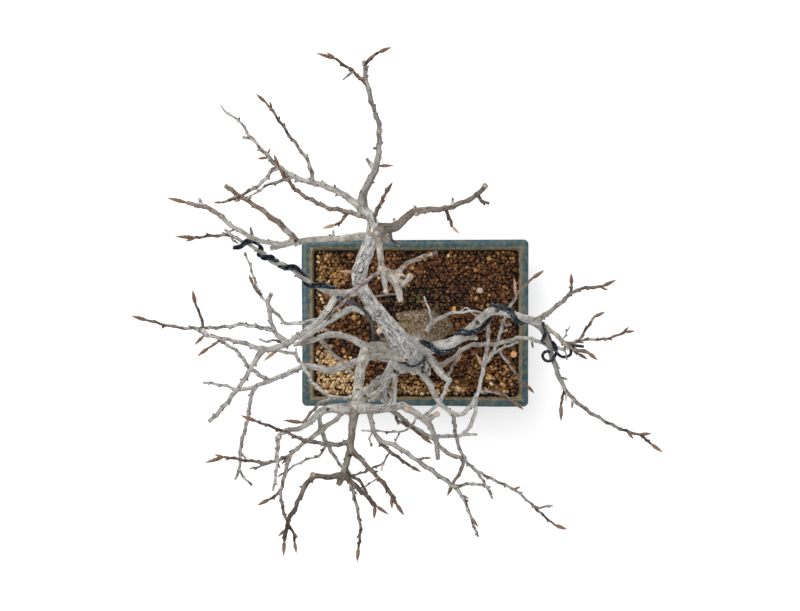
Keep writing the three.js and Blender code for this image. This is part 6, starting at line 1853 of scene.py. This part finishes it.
class MakeNets(bpy.types.Operator):
    """Gives the nets over the drain holes their moulded plastic"""

    bl_idname = "bonsai.make_nets"
    bl_label = "Make Nets"

    def execute(self, context):
        material = net_material()
        for name in ("drain_net_1", "drain_net_2"):
            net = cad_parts[name]
            net.data.materials.clear()
            net.data.materials.append(material)
        return {"FINISHED"}


class MakeSoil(bpy.types.Operator):
    """Makes the fine soil, the grains on it and the moss"""

    bl_idname = "bonsai.make_soil"
    bl_label = "Make Soil"

    def execute(self, context):
        settings = context.scene.bonsai_soil
        # The fine soil's near-black colour is its own dark colour and painted shade in the gaps between the
        # grains.
        fine_soil_in_shade = speckled_material("Fine soil in painted shade", rgb(12, 8, 5), rgb(30, 19, 12), 1.6, 1.0, (0.95, 0.8))
        finish_piece("soil_bed", mesh_of(soil_bed()), fine_soil_in_shade, ["soil"])
        pitch = settings.pitch / MM
        spots = grain_spots(pitch, 0.0, settings.seed) + grain_spots(pitch * 1.15, 2.0, settings.seed + 1)
        # Each look: a name, the painted shade deep between the grains, the dark, light and odd colours, and
        # for wet grains a gloss.
        looks = {
            "red": ("Red-brown grains", rgb(9, 5, 3), rgb(44, 24, 12), settings.red, rgb(166, 118, 72)),
            "tan": ("Tan grains", rgb(48, 32, 18), rgb(158, 120, 74), settings.tan, rgb(104, 66, 36)),
            "ochre": ("Ochre grains", rgb(18, 11, 5), rgb(78, 49, 22), rgb(186, 140, 82), rgb(222, 190, 134)),
            "wet": ("Wet grains", rgb(8, 5, 4), rgb(28, 17, 9), rgb(112, 78, 46), rgb(150, 112, 74), 0.6),
        }
        prototypes = grain_prototypes()
        for zone, look in looks.items():
            chosen = [spot for spot in spots if spot[0] == zone]
            mesh = scatter_grains(chosen, prototypes, settings.seed)
            finish_piece(f"soil_grains_{zone}", mesh, grain_material(*look))
        for prototype in prototypes:
            bpy.data.meshes.remove(prototype)
        moss = bmesh.new()
        for seed, row in enumerate(MOSS):
            absorb(moss, moss_tuft(*row, seed))
        finish_piece("moss", mesh_of(moss), moss_material())
        return {"FINISHED"}


class MakeWood(bpy.types.Operator):
    """Makes the thick wood: roots, trunk, leader and limbs, fused into one skin of bark"""

    bl_idname = "bonsai.make_wood"
    bl_label = "Make Wood"

    def execute(self, context):
        settings = context.scene.bonsai_tree
        raw = root_crown()
        limbs = [*grown_limbs().values(), *root_limbs()]
        for limb in limbs:
            part = thick_tube(limb)
            if part:
                absorb(raw, part)
        bm = modified(raw, "REMESH", mode="VOXEL", voxel_size=settings.voxel / MM)
        every_way = {"use_axis_x": True, "use_axis_y": True, "use_axis_z": True}
        for _ in range(2):
            bmesh.ops.smooth_vert(bm, verts=bm.verts, factor=0.5, **every_way)
        wood_marks(bm, limbs)
        finish_piece("tree_wood", mesh_of(bm), shared_bark(), ["tree"])
        return {"FINISHED"}


class MakeTwigs(bpy.types.Operator):
    """Makes the thin twigs, their spurs and the scars of old buds"""

    bl_idname = "bonsai.make_twigs"
    bl_label = "Make Twigs"

    def execute(self, context):
        whole = bmesh.new()
        for limb in grown_limbs().values():
            part = twig_tube(limb)
            if part:
                absorb(whole, part)
            draw = random.Random(limb.seed * 13 + 5)
            for reach in node_places(limb):
                if draw.random() < 0.85:
                    absorb(whole, thorn(limb, reach, draw))
        for seed, row in enumerate(KNOBS):
            absorb(whole, knob(*row, seed))
        for seed, row in enumerate(SPURS, start=900):
            absorb(whole, twig_tube(spur_limb(*row, seed)))
        finish_piece("tree_twigs", mesh_of(whole), shared_bark())
        return {"FINISHED"}


class MakeBuds(bpy.types.Operator):
    """Makes the slim, scaly buds at the twigs' ends and sides"""

    bl_idname = "bonsai.make_buds"
    bl_label = "Make Buds"

    def execute(self, context):
        whole = bmesh.new()
        for seed, (neck, tip, width) in enumerate(all_buds()):
            absorb(whole, bud(neck, tip, width, seed))
        finish_piece("tree_buds", mesh_of(whole), bud_material(context.scene.bonsai_tree))
        return {"FINISHED"}


class MakeTrainingWires(bpy.types.Operator):
    """Winds the dark training wires round the left and the right limb"""

    bl_idname = "bonsai.make_training_wires"
    bl_label = "Make Training Wires"

    def execute(self, context):
        settings = context.scene.bonsai_wire
        # The dark wire's lighter colour, on its worn patches, is also painted glints.
        dark = wire_material("Dark wire", settings.metal, rgb(104, 118, 124), 0.62, 0.17)
        radius, gap = settings.left / MM, settings.gap / MM
        limbs = LEFT_WIRE["limbs"]
        seats = wire_seats(limbs, LEFT_WIRE["path"]) + ring_seats()
        left = bmesh.new()
        for side, chosen in ((-1, seats), (1, seats[:-LONE_SEATS])):
            absorb(left, strand(chosen, [*limbs, *LEFT_NEIGHBOURS], radius, side * (radius + 0.1), gap))
        finish_piece("wire_on_left_limb", mesh_of(left), dark, ["training_wire_left"])
        radius = settings.right / MM
        for name, wire, side in (("front", RIGHT_WIRE_FRONT, -1), ("mid", RIGHT_WIRE_MID, 1)):
            seats = wire_seats(wire["limbs"], wire["path"])
            near = [*wire["limbs"], *RIGHT_NEIGHBOURS]
            right = strand(seats, near, radius, side * (radius + 0.15), gap)
            replaced = [f"training_wire_{name}"]
            finish_piece(f"wire_on_right_limb_{name}", mesh_of(right), dark, replaced)
        return {"FINISHED"}


class MakeTieWire(bpy.types.Operator):
    """Makes the grey wire that ties the root ball down"""

    bl_idname = "bonsai.make_tie_wire"
    bl_label = "Make Tie Wire"

    def execute(self, context):
        knots = [Vector((x, y, RIM_HEIGHT + height)) for x, y, height in TIE_ROUTE]
        # The grey wire's lighter colour, on its worn patches, is also painted glints.
        grey = wire_material("Grey wire", rgb(108, 105, 94), rgb(140, 137, 125), 0.2, 0.45)
        tie = round_wire(smooth_route(knots, 1.0), 1.3)
        finish_piece("grey_tie_wire", mesh_of(tie), grey, ["tie_wire"])
        return {"FINISHED"}


def lump(x, y, size, roughness, seed):
    """A rounded lump that rests on the soil."""
    bm = bmesh.new()
    bmesh.ops.create_icosphere(bm, subdivisions=4, radius=0.5)
    middle = Vector((x, y, soil_top(x, y) + size.z * 0.35))
    for vert in bm.verts:
        bulge = 1 + roughness * noise.noise(vert.co * 3 + UP * seed)
        vert.co = Vector((vert.co.x * size.x, vert.co.y * size.y, vert.co.z * size.z)) * bulge + middle
    return bm


class MakeLitter(bpy.types.Operator):
    """Makes the pebble, the bead and the husk that lie on the soil"""

    bl_idname = "bonsai.make_litter"
    bl_label = "Make Litter"

    def execute(self, context):
        pebble = lump(88, 16.5, Vector((7.4, 6.4, 5)), 0.3, 1)
        stone = speckled_material("Pale stone", rgb(172, 154, 130), rgb(206, 190, 166), 1.2, 0.3)
        finish_piece("pebble_on_soil", mesh_of(pebble), stone, ["pale_pebble"])
        bead = lump(125.5, -54, Vector((7.4, 7, 6.5)), 0.1, 2)
        peach = speckled_material("Peach bead", rgb(208, 142, 92), rgb(232, 182, 136), 0.9, 0.15)
        finish_piece("bead_on_soil", mesh_of(bead), peach, ["fallen_bead"])
        husk_x = 59.5
        husk = lump(husk_x, -4.5, Vector((4.8, 8, 3.2)), 0.12, 3)
        for vert in husk.verts:
            vert.co.z += 0.35 * math.cos((vert.co.x - husk_x) * 4.2)
        straw = speckled_material("Dry husk", rgb(186, 128, 54), rgb(222, 172, 92), 1.0, 0.2)
        finish_piece("husk_on_soil", mesh_of(husk), straw, ["seed_husk"])
        return {"FINISHED"}


class MakeStage(bpy.types.Operator):
    """Makes the pale floor, the lamps and the camera above the tree"""

    bl_idname = "bonsai.make_stage"
    bl_label = "Make Stage"

    def execute(self, context):
        settings = context.scene.bonsai_stage
        bm = bmesh.new()
        bmesh.ops.create_grid(bm, x_segments=4, y_segments=4, size=6.0)
        floor = bpy.data.objects.new("floor", mesh_of(bm))
        floor.data.materials.append(floor_material(settings.floor))
        bpy.context.collection.objects.link(floor)
        world = bpy.data.worlds.new("Soft room")
        world.use_nodes = True
        backdrop = world.node_tree.nodes["Background"]
        backdrop.inputs["Color"].default_value = (1, 1, 1, 1)
        backdrop.inputs["Strength"].default_value = 0.6
        context.scene.world = world
        aim = Vector((0, 0, 0.2))
        lamps = [("key", (-1.0, 1.1, 3.0), 2.2, 84.0), ("fill", (1.6, -0.9, 2.6), 2.4, 8.0)]
        for name, spot, size, power in lamps:
            data = bpy.data.lights.new(name, "AREA")
            data.size = size
            data.energy = power * settings.light
            lamp = bpy.data.objects.new(name, data)
            lamp.location = spot
            lamp.rotation_euler = (aim - lamp.location).to_track_quat("-Z", "Y").to_euler()
            bpy.context.collection.objects.link(lamp)
        camera = bpy.data.cameras.new("camera")
        camera.sensor_width = 36.0
        camera.lens = camera.sensor_width * (EYE_HEIGHT - PLAN_HEIGHT) / PICTURE_WIDTH
        eye = bpy.data.objects.new("camera", camera)
        eye.location = TO_FRAME @ EYE
        bpy.context.collection.objects.link(eye)
        context.scene.camera = eye
        context.scene.view_settings.view_transform = "Standard"
        return {"FINISHED"}


@functools.cache
def shared_bark():
    return bark_material(bpy.context.scene.bonsai_tree)


PIECES = (
    MakePot, MakeNets, MakeSoil, MakeWood, MakeTwigs, MakeBuds, MakeTrainingWires, MakeTieWire, MakeLitter,
    MakeStage,
)


class BonsaiPanel(bpy.types.Panel):
    """Lists what the add-on makes"""

    bl_idname = "VIEW3D_PT_bonsai"
    bl_label = "Winter Bonsai"
    bl_space_type = "VIEW_3D"
    bl_region_type = "UI"
    bl_category = "Bonsai"

    def draw(self, context):
        for name, group in SETTINGS.items():
            box = self.layout.box()
            for key in group.__annotations__:
                box.prop(getattr(context.scene, name), key)
        for piece in PIECES:
            self.layout.operator(piece.bl_idname)


SETTINGS = {
    "bonsai_pot": PotSettings,
    "bonsai_soil": SoilSettings,
    "bonsai_tree": TreeSettings,
    "bonsai_wire": WireSettings,
    "bonsai_stage": StageSettings,
}


def register():
    for group in SETTINGS.values():
        bpy.utils.register_class(group)
    for piece in (*PIECES, BonsaiPanel):
        bpy.utils.register_class(piece)
    for name, group in SETTINGS.items():
        setattr(bpy.types.Scene, name, PointerProperty(type=group))


def unregister():
    for name in SETTINGS:
        delattr(bpy.types.Scene, name)
    for piece in (BonsaiPanel, *reversed(PIECES)):
        bpy.utils.unregister_class(piece)
    for group in SETTINGS.values():
        bpy.utils.unregister_class(group)


def main():
    register()
    for piece in PIECES:
        group, name = piece.bl_idname.split(".")
        result = getattr(getattr(bpy.ops, group), name)()
        if result != {"FINISHED"}:
            raise RuntimeError(f"{piece.bl_label} didn't finish")


if __name__ == "__main__":
    main()
